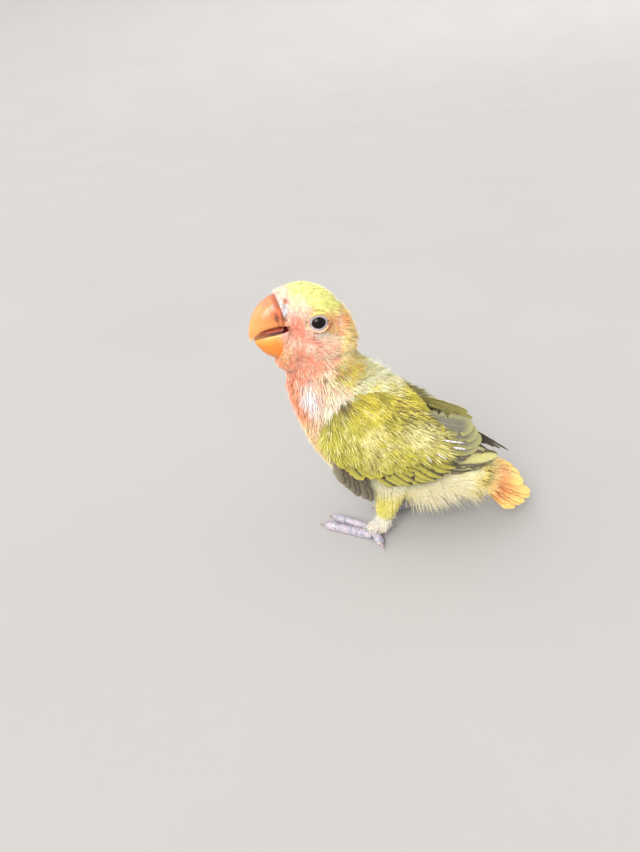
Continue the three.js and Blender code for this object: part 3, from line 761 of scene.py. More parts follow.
def barbed(material, depth, strength):
    """Gives a material barbs that run slanting from a feather's shaft."""
    wave = add(material, "ShaderNodeMath", operation="SINE")
    link(material, add(material, "ShaderNodeAttribute", attribute_name="barb").outputs["Fac"], wave.inputs[0])
    bumped(material, wave.outputs["Value"], depth, strength)


def bare_material(name, roughness, cell, depth):
    """Bare skin with a fine net of scales or pores."""
    material = painted_shader(name, 1200.0, 0.86, 1.1, Roughness=roughness, Subsurface_Weight=0.15,
                              Subsurface_Scale=0.001)
    grained(material, depth, 0.5, "ShaderNodeTexVoronoi", "Distance", Scale=cell)
    return material


FEATHER = painted_shader("feather", 900.0, 0.95, 1.1, Roughness=0.8, Sheen_Weight=0.25, Sheen_Roughness=0.5)
grained(FEATHER, 0.0001, 0.5, Scale=4200.0, Detail=2.0)
VANE = painted_shader("vane", 700.0, 0.88, 1.1, Roughness=0.6, Sheen_Weight=0.2, Sheen_Roughness=0.4)
barbed(VANE, 0.00008, 0.6)
BARE = bare_material("bare_skin", 0.55, 2600.0, 0.00006)
SCALY = bare_material("scaly_skin", 0.5, 1500.0, 0.00012)
HORN = painted_shader("horn", 380.0, 0.9, 1.07, Roughness=0.32, Coat_Weight=0.25, Coat_Roughness=0.2,
                      Subsurface_Weight=0.2, Subsurface_Scale=0.002)
grained(HORN, 0.0001, 0.35, Scale=1500.0, Detail=3.0)
WET = bare_material("wet_skin", 0.25, 3000.0, 0.00004)
EYE = painted_shader("eye", 2500.0, 0.7, 1.3, noise_range=(0.0, 1.0), detail=3.0, uneven=0.5, Roughness=0.06,
                     Specular_IOR_Level=0.16, Coat_Weight=0.15, Coat_Roughness=0.02)


# Skin

FLESH = ["head", "neck", "torso", "thigh_left", "thigh_right"]
# Size of the cells that a shape is made even with, and rounds of smoothing
SKIN_MESH = (0.62, 7)
CERE_MESH = (0.17, 6)
TONGUE_MESH = (0.2, 8)
# Orange-brown of the nostrils' middle, darker than their rim: partly their own colour, partly painted shade
# of the opening
PORE_COLOUR = srgb(186, 116, 82)
# Depth of the skin under the coat's outline
BODY_COAT = 1.15
HEAD_COAT = 0.85


def coat_depth(points):
    """How far the skin lies inside the outline of the coat."""
    head = to_head(points)
    depth = mix(BODY_COAT, HEAD_COAT, head_share(points))
    for side in SIDES.values():
        middle, _ = eye_middle(side)
        depth = depth * smooth_step(3.9, 6.5, lengths(head - middle))
    depth = depth * mix(1.0, 0.3, smooth_step(6, 10, head[:, 2]) * head_share(points))
    cere = smooth_step(-11.5, -14, head[:, 0]) * smooth_step(13.0, 11.0, head[:, 2])
    depth = depth * mix(1.0, 0.25, cere * head_share(points))
    return depth * mix(1.0, 0.5, leg_share(points))


def skin_shape():
    """One skin over head, neck, body, thighs and the arms of the wings."""
    shape = joined([cad_shape(node) for node in [*FLESH, "cere"]] + [arm_shape(name) for name in SIDES])
    points, triangles = remeshed(*shape, *SKIN_MESH)
    points = points - vertex_normals(points, triangles) * coat_depth(points)[:, None]
    return points, triangles


SKIN = Surface(*skin_shape())
SKIN_MAP = unwrap(SKIN.points, SKIN.triangles)


def map_places(points):
    """Places on the skin's map of its triangles nearest to the points."""
    found = [SKIN.tree.find_nearest(p)[2] for p in points.tolist()]
    return SKIN_MAP.reshape(-1, 3, 2)[found].mean(1)


def mouth_share(points):
    """1 where the open bill shows the inside of the mouth."""
    head = to_head(points)
    inside = smooth_step(-10.2, -11, head[:, 0]) * smooth_step(6, 5, np.abs(head[:, 1]))
    return inside * smooth_step(-1.6, -0.8, head[:, 2]) * smooth_step(4, 3, head[:, 2])


def skin_piece():
    colour = mix(plumage(SKIN.points), srgb(236, 190, 170), 0.2) * 0.9
    colour = blend(colour, srgb(120, 30, 28), mouth_share(SKIN.points))
    pore = lengths(mirrored(to_head(SKIN.points)) - NOSTRIL_AT)
    # The nostril's darker middle, partly painted shade of its opening
    colour = blend(colour, PORE_COLOUR, smooth_step(1.6, 1.2, pore))
    piece = make("skin", SKIN.points, SKIN.triangles, BARE, colour, SKIN_MAP)
    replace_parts(piece, *FLESH)


# Coat

UV_PATCH = 0.0015  # half the width of a tuft on the map
DARK_END = srgb(74, 62, 40)
ROOT_DEPTH = 0.3  # depth of the tufts' roots in the skin


def paths_on(surface, spots, forward, style):
    """Middle lines of tufts that lie along a surface, with the way out at each of their points."""
    points, normals = spots
    count = len(points)
    forward = unit(forward + np.cross(normals, forward) * rng.normal(0, style["stray"], (count, 1)))
    length = style["length"] * (1 + style["varies"] * rng.uniform(-1, 1, count))
    for side in SIDES.values():
        length = length * mix(1.0, 0.6, round_eye(to_head(points), side)[1])
    rise = style["rise"](points) if callable(style["rise"]) else style["rise"]
    rise = rise * (1 + 0.35 * rng.uniform(-1, 1, count))
    at = np.linspace(0, 1, style["rings"] + 1)
    axis, outward, heading = [points - normals * ROOT_DEPTH], [normals], forward
    for before, now in zip(at, at[1:]):
        step = axis[-1] + heading * (length * (now - before))[:, None]
        ground, up = surface.nearest(step)
        up = unit(mix(outward[-1], up, 0.6))
        lift = (-ROOT_DEPTH + (rise + ROOT_DEPTH) * now ** style["curve"])[:, None]
        axis.append(mix(step, ground, style["hugs"]) + up * lift)
        outward.append(up)
        moved = axis[-1] - axis[-2]
        heading = unit(moved - up * 0.3 * dot(moved, up))
    return np.array(axis), np.array(outward), length


def blade_faces(rings):
    """Triangles of one closed blade with three sides and a pointed end."""
    faces = [(0, 2, 1)]
    for k in range(rings - 1):
        for i in range(3):
            a, b = 3 * k + i, 3 * k + (i + 1) % 3
            faces += [(a, b, b + 3), (a, b + 3, a + 3)]
    last = 3 * (rings - 1)
    return np.array(faces + [(last + i, last + (i + 1) % 3, 3 * rings) for i in range(3)])


def blade_shapes(paths, style):
    """Points of the blades of each tuft, their shading normals, and the blades' places across the tuft."""
    axis, outward, length = paths
    rings, count, blades = len(axis) - 1, axis.shape[1], style["blades"]
    at = np.linspace(0, 1, rings + 1)
    along = unit(np.concatenate([axis[1:2] - axis[:1], axis[1:] - axis[:-1]]))
    across = unit(np.cross(outward, along))
    over = np.cross(along, across)
    row = np.linspace(-1, 1, blades)
    fan = np.tan(np.radians(style["fan"])) * row + rng.normal(0, 0.06, (count, blades))
    short = -style["round"] * row**2 + rng.normal(0, 0.07, (count, blades))
    side = row * style["width"] * (blades - 1) * 0.3 + length[:, None] * fan * at[:, None, None]
    ahead = length[:, None] * short * at[:, None, None]
    sunk = 0.12 * row**2 * at[:, None, None]
    middle = (axis[:, :, None] + across[:, :, None] * side[..., None] + along[:, :, None] * ahead[..., None]
              - over[:, :, None] * sunk[..., None])
    taper = np.interp(at, [0, 0.5, 1], [0.75, 1.0, 0.1])[:-1, None, None, None]
    wide = across[:-1, :, None] * taper * style["width"] / 2
    thick = over[:-1, :, None] * taper * style["thick"]
    body = np.stack([middle[:-1] - wide, middle[:-1] + wide, middle[:-1] + thick], 3)
    body = body.transpose(1, 2, 0, 3, 4).reshape(count * blades, rings * 3, 3)
    shape = np.concatenate([body, middle[-1].reshape(count * blades, 1, 3)], 1)
    soft = np.stack([over[:-1] - 0.3 * across[:-1], over[:-1] + 0.3 * across[:-1], over[:-1]], 2)
    soft = soft.transpose(1, 0, 2, 3).reshape(count, rings * 3, 3)
    soft = np.concatenate([soft, over[-1][:, None]], 1) + np.reshape(style["sky"], (-1, 1, 1)) * (0, 0, 1)
    return shape, unit(np.repeat(soft, blades, 0)), row


def blade_colours(roots, base, rings, style):
    """Colours of the blades of tufts with these roots: their own, streaks, accents, dark ends and painted
    shade.
    """
    count, blades = len(roots), style["blades"]
    at = np.linspace(0, 1, rings + 1)[:-1]
    dapple = 1 + style["dapple"] * noise_at(roots, 2.2, 3.0)[:, None] + rng.normal(0, 0.03, (count, 1))
    colour = np.repeat(base * dapple, blades, 0)
    strand = np.repeat(rng.random((count, 1)), blades, 0)
    strand = np.where(rng.random((count * blades, 1)) < 0.75, strand, 0.5)
    colour = np.where(strand < style["streaks"], mix(colour, style["streak"], 0.6), colour)
    colour = np.where(strand > 1 - style["accents"], mix(colour, style["accent"], 0.6), colour)
    dark = rng.random((count * blades, 1)) < np.repeat(darkness(roots), blades)[:, None]
    colour = colour * (1 + rng.normal(0, 0.035, (count * blades, 1)))
    # Painted shade and light: each blade is darker at its root, where the tufts over it shade it, and a
    # little lighter at its end.
    shade = np.append(np.repeat(np.interp(at, [0, 0.5, 1], [0.84, 0.98, 1.04]), 3), 1.05)
    ends = np.append(np.repeat(smooth_step(0.2, 0.6, at), 3), 1.0)
    colour = colour[:, None] * shade[:, None]
    return np.where(dark[..., None], mix(colour, DARK_END, 0.75 * ends[:, None]), colour)


def tuft_shapes(paths, base, style):
    """Tufts of thin blades along their middle lines. Each is a small soft feather with a frayed end."""
    shape, soft, row = blade_shapes(paths, style)
    roots, rings, blades = paths[0][0], len(paths[0]) - 1, style["blades"]
    colour = blade_colours(roots, base, rings, style)
    at = np.linspace(0, 1, rings + 1)[:-1]
    patch = np.stack([np.append(np.tile([-0.4, 0.4, 0.0], rings), 0.0),
                      np.append(np.repeat(at * 2 - 1, 3), 1.0)], 1)
    spots = np.repeat(map_places(roots), blades, 0)[:, None] + patch * UV_PATCH
    spots[..., 0] += (np.tile(row, len(roots)) * 0.6 * UV_PATCH)[:, None]
    return shape, colour, spots, soft


# A tuft: its blades and the rings of points of each, its sizes, spread and rounded end, how high its end
# rises and how closely it follows the skin, how much its direction and colour vary, the shares of its blades
# that are paler or coloured, and how far its shading turns up
STYLE = dict(blades=5, rings=2, length=3.0, varies=0.15, width=0.34, thick=0.12, fan=17, round=0.2, rise=0.8,
             curve=0.8, hugs=0.85, stray=0.12, dapple=0.05, streaks=0.1, streak=srgb(255, 244, 222),
             accents=0.0, accent=srgb(242, 140, 118), sky=0.15)
PIECE_TRIANGLES = 190000


def coat(name, spacing, region, changes):
    """One region of the coat, grown from the skin."""
    style = {**STYLE, **changes}
    spots = SKIN.scattered(spacing, region)
    paths = paths_on(SKIN, spots, lie(*spots), style)
    coat_piece(name, tuft_shapes(paths, plumage(spots[0]), style))


def coat_piece(name, shapes):
    """Tufts as one piece, or as several that stay small."""
    shape = shapes[0]
    per_blade = shape.shape[1]
    faces = blade_faces(per_blade // 3)
    parts = max(1, math.ceil(len(shape) / (PIECE_TRIANGLES // len(faces))))
    for k, group in enumerate(np.array_split(np.arange(len(shape)), parts)):
        label = f"coat_{name}" if parts == 1 else f"coat_{name}_{k + 1}"
        triangles = faces + np.arange(len(group))[:, None, None] * per_blade
        points, tints, places, normals = (part[group].reshape(-1, part.shape[-1]) for part in shapes)
        make(label, points, triangles.reshape(-1, 3), FEATHER, tints, places, normals=normals)


def bare_cere(head):
    """1 on the bare part of the cere, 0 where the face's feathers cover it."""
    z = head[:, 2]
    edge = (-12.7 - 3.4 * smooth_step(11.0, 12.4, z) - 2.2 * smooth_step(8.6, 5.2, z)
            - 3.0 * smooth_step(5.5, 4, z))
    bare = smooth_step(0.3, -0.3, head[:, 0] - edge - 0.8 * noise_at(head, 1.3, 8.0))
    by_pore = smooth_step(1.6, 1.3, lengths(mirrored(head) - NOSTRIL_AT))
    return np.maximum(bare * smooth_step(1.5, 2.5, z), by_pore)


def across_axis(faces):
    """Sideways and upward directions across an axis."""
    aside = unit(np.cross(faces, (0.0, 0.0, 1.0)))
    return aside, np.cross(aside, faces)


def lid_distance(head, side):
    """Distance from the eye's axis, stretched so that the lids' oval is a circle."""
    middle, faces = eye_middle(side)
    gap = head - middle
    high = gap @ across_axis(faces)[1]
    return np.sqrt(lengths(np.cross(gap, faces)) ** 2 + high**2 * (LID_OPENS**-2 - 1))


def bare_share(points):
    """1 where no feather grows: rings of the eyes, the mouth, and the front of the cere."""
    head = to_head(points)
    bare = np.maximum(mouth_share(points), bare_cere(head))
    for side in SIDES.values():
        near = smooth_step(7, 6, lengths(head - eye_middle(side)[0]))
        bare = np.maximum(bare, near * smooth_step(3.05, 2.75, lid_distance(head, side)))
    return bare


def regions(points):
    """Which points of the skin grow each region of the coat. The wisps lie over other regions."""
    x, z = points[:, 0], points[:, 2]
    head = to_head(points)
    wing = np.maximum(on_wing("left", points), on_wing("right", points)) > 0.5
    leg = (leg_share(points) > 0.5) & ~wing
    above = head_share(points) > 0.5
    feathered = above & (bare_share(points) < 0.5)
    by_eye = lengths(mirrored(head) - eye_middle(1)[0]) < 6.6
    face = feathered & ((head[:, 0] < -10.5) & (head[:, 2] > -9) | by_eye)
    nape = feathered & ~face & (head[:, 0] + 0.3 * np.maximum(4 - head[:, 2], 0) > 3.5)
    rest = feathered & ~face & ~nape
    body = ~above & ~wing & ~leg
    breast = body & (x < -9 + 0.3 * (z - 50)) & (z > 36)
    vent = body & ~breast & (z < 38 - 0.45 * x)
    behind = body & ~breast & ~vent
    rump = behind & (x > 30)
    back = behind & ~rump
    return {"face": face, "crown": rest & (head[:, 2] > 4), "nape": nape, "cheek": rest & (head[:, 2] <= 4),
            "breast": breast, "back": back, "rump": rump, "mantle_wisps": back & (x < 6) & (z > 60),
            "breast_wisps": breast & (z < 50), "vent": vent, "wisps": vent & (x > 1) & (x < 38) & (z < 22),
            "leg": leg, "arm": wing}


def crown_rise(points):
    return mix(0.6, 1.3, smooth_step(-6, 4, to_head(points)[:, 0]))


# The coat's regions in the order in which they grow: slot, spacing and what differs from STYLE
COAT = {
    "face": ("crown", 0.66, dict(length=1.8, width=0.26, thick=0.07, rise=0.45)),
    "crown": ("crown", 0.84, dict(length=3.2, width=0.32, thick=0.08, rise=crown_rise, sky=0.3)),
    "nape": ("crown", 0.95, dict(length=4.2, width=0.3, thick=0.08, rise=1.9, rings=3, stray=0.24, sky=0.45,
                                 streaks=0.2, accents=0.14, accent=srgb(242, 156, 84))),
    "cheek": ("neck", 0.9, dict(length=4.6, width=0.3, thick=0.08, rise=1.1, rings=3, stray=0.24, sky=0.35,
                                streaks=0.3, accents=0.24)),
    "breast": ("body", 1.05, dict(length=6.0, width=0.32, thick=0.08, rise=2.0, rings=3, stray=0.2,
                                  streaks=0.22, accents=0.1)),
    "back": ("body", 1.05, dict(length=5.2, width=0.34, thick=0.08, rise=1.6, rings=3, stray=0.35, sky=0.5,
                                streaks=0.2, streak=srgb(248, 236, 130), accents=0.25,
                                accent=srgb(198, 178, 40))),
    "rump": ("body", 1.05, dict(length=5.6, width=0.32, thick=0.08, rise=1.6, rings=3, stray=0.3, sky=1.2,
                                streaks=0.25, streak=srgb(255, 238, 160), accents=0.3,
                                accent=srgb(244, 206, 74))),
    "mantle_wisps": ("body", 2.1, dict(length=4.6, width=0.22, thick=0.07, rise=2.0, rings=4, stray=0.6,
                                       sky=0.5, fan=20, hugs=0.5, streaks=0.7)),
    "breast_wisps": ("body", 2.0, dict(length=5.6, width=0.22, thick=0.07, rise=1.4, rings=4, stray=0.3,
                                       fan=18, hugs=0.6, streaks=0.5)),
    "vent": ("down", 1.15, dict(length=5.6, width=0.24, thick=0.07, rise=1.9, rings=3, stray=0.4, sky=0.9,
                                fan=26, hugs=0.7)),
    "wisps": ("down", 1.7, dict(length=9.0, width=0.22, thick=0.07, rise=2.6, rings=4, stray=0.5, sky=0.9,
                                fan=20, hugs=0.25, streaks=0.5)),
    "leg": ("down", 0.9, dict(length=3.8, width=0.28, thick=0.07, rise=1.3, rings=3, stray=0.3, fan=22)),
    "arm": ("wing", 1.3, dict(length=5.0, width=0.36, thick=0.08, rise=1.0)),
}


def coat_pieces():
    grows = regions(SKIN.middles)
    for name, (slot, spacing, changes) in COAT.items():
        coat(name, spacing, grows[name], changes)
    for name in SIDES:
        covert_coat(name)
    tail_coat()


def paths_over(face, places, heading, lifts, style):
    """Middle lines of tufts laid on a wing's or the tail's face."""
    swing = rng.normal(0, style["stray"], (len(places), 1))
    heading = unit(heading + np.stack([-heading[:, 1], heading[:, 0]], 1) * swing)
    length = style["length"] * (1 + style["varies"] * rng.uniform(-1, 1, len(places)))
    at = np.linspace(0, 1, style["rings"] + 1)[:, None]
    across, up = (places[:, k] + heading[:, k] * length * at for k in range(2))
    lift = lifts[0] + (rng.uniform(*lifts[1:], len(places)) - lifts[0]) * at**0.7
    axis = face(across, up, lift)
    return axis, unit(face(across, up, lift + 0.5) - axis), length


def jittered(first, second, spacing):
    """An uneven grid of places between the limits of two distances."""
    a, b = np.meshgrid(np.arange(*first, spacing), np.arange(*second, spacing), indexing="ij")
    return np.stack([a.ravel(), b.ravel()], 1) + rng.uniform(-0.47, 0.47, (a.size, 2)) * spacing


def covert_coat(name):
    """Fine barbs of the coverts, which cover the roots of the wing's vanes."""
    style = dict(STYLE, length=5.6, thick=0.07, rings=3, stray=0.16, dapple=0.16, streaks=0.2,
                 streak=srgb(252, 244, 194), accents=0.2, accent=srgb(112, 98, 40), varies=0.3, fan=13)
    places = jittered((-2.2, 44), (-19, 14), 0.95)
    s, h = places.T
    bottom, top = edges_at(COVERT_OUTLINE, s)
    thin = rng.random(len(s)) < np.interp(s, [24, 34, 42], [1, 0.55, 0.3])
    grown = (np.minimum(h - bottom, top - h) > 0) & thin
    places = places[grown]
    style["sky"] = 0.15 + 3.0 * smooth_step(5, 1.5, (top - h)[grown])
    heading = combed(WING_LIE, places, WING_COMB)
    paths = paths_over(partial(wing_point, name), places, heading, (-1.2, 0.5, 1.4), style)
    coat_piece(f"coverts_{name}", tuft_shapes(paths, painted(WING_BASE, WING_MARKS, places), style))


def tail_coat():
    """Soft coverts over the roots of the tail's vanes."""
    style = dict(STYLE, length=6.4, width=0.32, thick=0.07, rings=3, stray=0.16, varies=0.3, fan=13,
                 streaks=0.14)
    places = jittered((-8.5, 2.4), (-5.5, 5.5), 0.85)
    heading = unit(np.stack([np.ones(len(places)), places[:, 1] * 0.11], 1))
    paths = paths_over(fan_point, places, heading, (-0.4, 0.8, 2.0), style)
    share = smooth_step(-4, 3, places[:, 0] + 1.6 * noise_at(paths[0][0], 2.0))
    colour = blend(srgb(252, 238, 160), srgb(246, 186, 116), share)
    coat_piece("tail_coverts", tuft_shapes(paths, colour, style))


# Flight feathers, coverts and tail

BARB_PITCH = 0.32
VANE_ROWS = 30
VANE_COLUMNS = 9
VANE_CUP = 0.1  # how far a vane's edges bend down, as a share of its half width
ROD_SIDES = 5


def vane_outline(t, blunt):
    """Half width of a vane along its length, as a share of the widest."""
    swell = mix(0.32, 1.0, smooth_step(0.0, 0.42, t))
    end = np.sqrt(np.maximum(1 - np.clip((t - blunt) / (1.0 - blunt), 0, 1) ** 2.2, 0))
    return np.maximum(swell * end, 0.03)


def vane_shape(face, root, tip, width, lifts, roll, colours, blunt=0.66, bend=0.0, under=None):
    """One feather: two thin faces with frayed edges, and its shaft."""
    along = np.array(tip, float) - root
    length = np.linalg.norm(along)
    across = np.array([-along[1], along[0]]) / length

    def placed(t, aside, lift):
        aside = aside + bend * t**2
        return face(*(root[k] + along[k] * t + across[k] * aside for k in range(2)), lift)

    t = 1 - (1 - np.linspace(0, 1, VANE_ROWS)) ** 1.25
    v = np.linspace(-1, 1, VANE_COLUMNS)
    half = vane_outline(t, blunt) * width / 2
    edges = np.ones((VANE_ROWS, VANE_COLUMNS))
    for sign in (-1, 1):
        for where in rng.uniform(0.35, 0.97, rng.integers(2, 5)):
            notch = rng.uniform(0.12, 0.34) * np.exp(-(((t - where) / 0.022) ** 2))
            edges[:, v * sign > 0.7] -= notch[:, None]
    reach = half[:, None] * v * edges
    lift = mix(*lifts, t)[:, None] + roll * reach - VANE_CUP * v**2 * half[:, None]
    thick = 0.09 * (1 - 0.6 * np.abs(v)) * mix(1.0, 0.4, t)[:, None]
    faces = [placed(t[:, None], reach, lift + thick), placed(t[:, None], reach, lift - thick)[:, ::-1]]
    points, triangles = loft(np.concatenate(faces, 1))
    t_all = np.concatenate([np.repeat(t, 2 * VANE_COLUMNS), [0, 1]])
    v_all = np.concatenate([np.tile(np.concatenate([v, v[::-1]]), VANE_ROWS), [0, 0]])
    colour = colours(t_all, v_all)
    barb = (t_all * length + np.abs(v_all) * np.interp(t_all, t, half) * 0.9) * 2 * math.pi / BARB_PITCH
    under_side = np.concatenate([np.tile(np.repeat([0.0, 1.0], VANE_COLUMNS), VANE_ROWS), [0, 0]])
    # The undersides' colour, where given, is partly painted light against the shade they lie in
    if under is not None:
        colour = blend(colour, under, 0.85 * under_side)
    spot = np.stack([t_all, (v_all * 0.5 + 0.5) * 0.48 + 0.5 * under_side], 1)

    rod_t = np.linspace(0, 0.93, 9)
    ring = []
    for k in range(ROD_SIDES):
        angle = 2 * math.pi * k / ROD_SIDES
        r = 0.16 * (1 - 0.75 * rod_t) * max(width / 6, 0.7)
        ring.append(placed(rod_t, math.cos(angle) * r, mix(*lifts, rod_t) + (math.sin(angle) * r + 0.08)))
    rod = loft(np.array(ring).transpose(1, 0, 2))
    count = len(rod[0])
    rod_at = np.append(np.repeat(rod_t, ROD_SIDES), [0, 1])
    rod_colour = mix(colours(rod_at, np.zeros(count)), srgb(225, 214, 180), 0.35)
    rod_spot = np.stack([rod_at, np.full(count, 0.985)], 1)
    return joined([[points, triangles, colour, barb, spot],
                   [*rod, rod_colour, np.zeros(count), rod_spot]])


def in_cells(shapes):
    """The feathers' shapes, each with its own cell of the map."""
    across = math.ceil(math.sqrt(len(shapes)))
    for k, shape in enumerate(shapes):
        corner = np.array([k % across, k // across])
        shape[4] = (corner + 0.03 + 0.94 * shape[4]) / across
    return shapes


def feather_piece(name, shapes):
    """Feathers of a wing or the tail as one piece."""
    points, triangles, colour, barb, spots = joined(in_cells(shapes))
    return make(name, points, triangles, VANE, colour, spots, barb)


def two_tone(middle, edge, dark, where, tip=None, edge_at=0.45):
    """Colours of a vane: its middle, both edges, and a darker inner side."""
    def colours(t, v):
        colour = np.broadcast_to(middle, (len(t), 3))
        colour = blend(colour, edge, smooth_step(edge_at, edge_at + 0.45, np.abs(v)))
        colour = blend(colour, dark, smooth_step(where, where + 0.45, v))
        if tip is not None:
            colour = blend(colour, tip, smooth_step(0.8, 1.0, t))
        return colour * mix(0.8, 1.0, smooth_step(0, 0.5, t))[:, None]
    return colours


OLIVE = srgb(190, 180, 62)
# Undersides of the vanes, paler and yellower: partly their own colour, partly painted light that lifts the
# shade they lie in
LIT_UNDERSIDE = srgb(255, 244, 140)
GREY = srgb(132, 128, 108)
SHADE = srgb(84, 76, 50)
PALE = srgb(224, 218, 140)

# Tiers of the folded wing, from its long feathers up to the small coverts: curves through the roots and tips,
# along and across the wing, then widths from first to last, heights of root and tip over the wing's face, how
# much higher each next one lies, how much each tilts, and the share of its length where its end starts. Where
# given, under is the colour of the undersides, partly their own paler colour and partly painted light that
# lifts the shade they lie in, and last says how many at the end have colours of their own.
TIERS = [
    dict(count=7, roots=[(28, -9.5), (31, -4)], tips=[(55.5, -7.4), (60.5, -5), (64, -2)], widths=(4.6, 6.4),
         lifts=(-4.6, -4.2), step=0.2, roll=-0.12, blunt=0.78,
         colours=two_tone(PALE, srgb(84, 76, 56), SHADE, 0.5)),
    dict(count=11, roots=[(9.5, -11), (26, 6)], tips=[(28.5, -18.8), (42, -11.4), (51, 0.5)],
         widths=(5.2, 6.4), lifts=(-2.6, -1.2), roll=-0.24, blunt=0.7,
         colours=two_tone(OLIVE * 0.94, OLIVE, SHADE * 0.8, -0.52),
         last=(2, two_tone(srgb(96, 90, 80), srgb(140, 134, 96), SHADE, 0.0))),
    dict(count=4, roots=[(24, 4), (25.5, 8.8)], tips=[(51, 3.2), (51, 6.8), (47.6, 10)], widths=(7.6, 6.6),
         lifts=(-2, 0.4), roll=-0.22, blunt=0.74, under=LIT_UNDERSIDE,
         colours=two_tone(GREY * 0.9, srgb(204, 196, 104), GREY * 0.8, 0.7, srgb(176, 170, 112), 0.56)),
    dict(count=10, roots=[(5, -12.5), (19, 8.4)], tips=[(17.5, -19.2), (30, -9.4), (38, 6.8)],
         widths=(4.6, 5.8), lifts=(-2, 0.2), roll=-0.24, blunt=0.62, under=LIT_UNDERSIDE,
         colours=two_tone(OLIVE * 0.95, OLIVE, SHADE, -0.15, OLIVE * 1.02)),
    dict(count=9, roots=[(0.5, -9), (9.5, 7.6)], tips=[(9.5, -16), (19, -6), (25, 7)], widths=(4.4, 5.2),
         lifts=(-1.9, 0.7), roll=-0.2, blunt=0.55, under=LIT_UNDERSIDE,
         colours=two_tone(OLIVE * 0.97, OLIVE, OLIVE * 0.8, 0.2)),
    # Along the hand's lower edge
    dict(count=6, roots=[(2, -11), (11, -14)], tips=[(11.5, -25.5), (17.5, -30.5), (23.5, -31.5)],
         widths=(4.4, 5.2), lifts=(-2.7, -1.3), roll=0.2, blunt=0.66,
         colours=two_tone(srgb(122, 110, 86), srgb(158, 146, 104), srgb(84, 74, 58), 0.4)),
]
# Long tip of the right wing, which is held a little open
TIP_TIER = dict(count=5, roots=[(34, 0), (37, 4)], tips=[(57, 0.5), (62, 4), (66.8, 7.2)], widths=(5.2, 2.8),
                lifts=(-3.6, -3.0), roll=-0.2, blunt=0.6,
                colours=two_tone(srgb(96, 88, 74), srgb(150, 142, 96), srgb(70, 62, 50), 0.3))
# Pale sheaths of growing quills: place along and across the wing, heading, length and radius
QUILLS = [((37.8, 4.2), 1, 8.2, 0.36), ((42.2, 2.6), -5, 5.0, 0.44), ((37.4, -0.6), -16, 4.6, 0.3),
          ((34.6, -2.4), -34, 3.2, 0.24)]
QUILL_ROWS = 14
QUILL_SIDES = 10


def quill_shapes(name):
    """Growing quills still in their pale sheaths."""
    shapes = []
    t = np.linspace(0, 1, QUILL_ROWS)
    angle = np.linspace(0, 2 * math.pi, QUILL_SIDES, endpoint=False)
    along = np.concatenate([np.repeat(t, QUILL_SIDES), [0, 1]])
    around = np.concatenate([np.tile(np.arange(QUILL_SIDES) / QUILL_SIDES, QUILL_ROWS), [0, 0]])
    colour = blend(srgb(226, 222, 220), srgb(176, 170, 180), smooth_step(0.3, 1, np.sin(along * 24)))
    colour = blend(colour, srgb(120, 112, 112), smooth_step(0.85, 1.0, along))
    for place, heading, length, thick in QUILLS:
        turn = math.radians(heading + rng.uniform(-4, 4))
        radius = thick * np.interp(t, [0, 0.2, 0.8, 1], [0.4, 1, 0.8, 0.12])
        ahead = t[:, None] * length + 0 * angle
        side = radius[:, None] * np.cos(angle)
        rings = wing_point(name, place[0] + ahead * math.cos(turn) - side * math.sin(turn),
                           place[1] + ahead * math.sin(turn) + side * math.cos(turn),
                           0.7 + radius[:, None] * np.sin(angle))
        shapes.append([*loft(rings), colour, np.zeros(len(along)), np.stack([along, around], 1)])
    return shapes


def tier_shapes(name, plan):
    """One tier of a wing's feathers."""
    roots = through(plan["roots"], plan["count"])
    tips = through(plan["tips"], plan["count"])
    widths = np.linspace(*plan["widths"], plan["count"])
    many, last = plan.get("last", (0, None))
    shapes = []
    for k, (root, tip, width) in enumerate(zip(roots, tips, widths)):
        tip = tip + rng.uniform(-0.5, 0.5, 2)
        lifts = [lift + k * plan.get("step", 0.0) for lift in plan["lifts"]]
        colours = last if k >= plan["count"] - many else plan["colours"]
        shapes.append(vane_shape(partial(wing_point, name), root, tip, width * rng.uniform(0.95, 1.05), lifts,
                                 plan["roll"], colours, plan["blunt"], under=plan.get("under")))
    return shapes


def wing_pieces():
    for name in SIDES:
        shapes = []
        for plan in TIERS + ([TIP_TIER] if name == "right" else []):
            shapes += tier_shapes(name, plan)
        shapes += quill_shapes(name)
        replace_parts(feather_piece(f"wing_feathers_{name}", shapes), f"wing_{name}")


# Tail: lengths of the inner and outer feathers on its left and right, and their angles from its middle
TAIL_LENGTHS = {-1: (19.8, 16.5), 1: (16, 14.5)}
TAIL_ANGLES = (7, 11, 21, 26, 36, 41)


def tail_colours(t, v):
    colour = blend(srgb(240, 128, 92), srgb(248, 166, 100), smooth_step(0.3, 0.6, t))
    colour = blend(colour, srgb(252, 208, 118), smooth_step(0.55, 0.85, t))
    edge = smooth_step(0.6, 0.85, np.abs(v)) * smooth_step(0.2, 0.6, t)
    colour = blend(colour, srgb(254, 218, 130), 0.6 * edge)
    # Painted shade: a dark brown line along each feather's edges, fading before its end, where it meets its
    # neighbours
    edge_gap_shade = smooth_step(0.84, 0.97, np.abs(v)) * smooth_step(0.95, 0.6, t)
    return blend(colour, srgb(150, 84, 44), 0.75 * edge_gap_shade)


def tail_piece():
    shapes = []
    last = len(TAIL_ANGLES) - 1
    for side, (inner, outer) in TAIL_LENGTHS.items():
        for k, degrees in enumerate(TAIL_ANGLES):
            angle = side * math.radians(degrees + rng.uniform(-0.6, 0.6))
            length = mix(inner, outer, (k / last) ** 2) + rng.uniform(-0.5, 0.5)
            lift = -0.4 * k + (-0.8 if side < 0 else 0)
            heading = np.array([math.cos(angle), math.sin(angle)])
            shapes.append(vane_shape(fan_point, heading, heading * length, 5.9, (lift, lift),
                                     0.14 * side, tail_colours, 0.68, bend=-0.6 * side))
    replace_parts(feather_piece("tail_feathers", shapes), "tail")


# Bill, cere, mouth and eyes

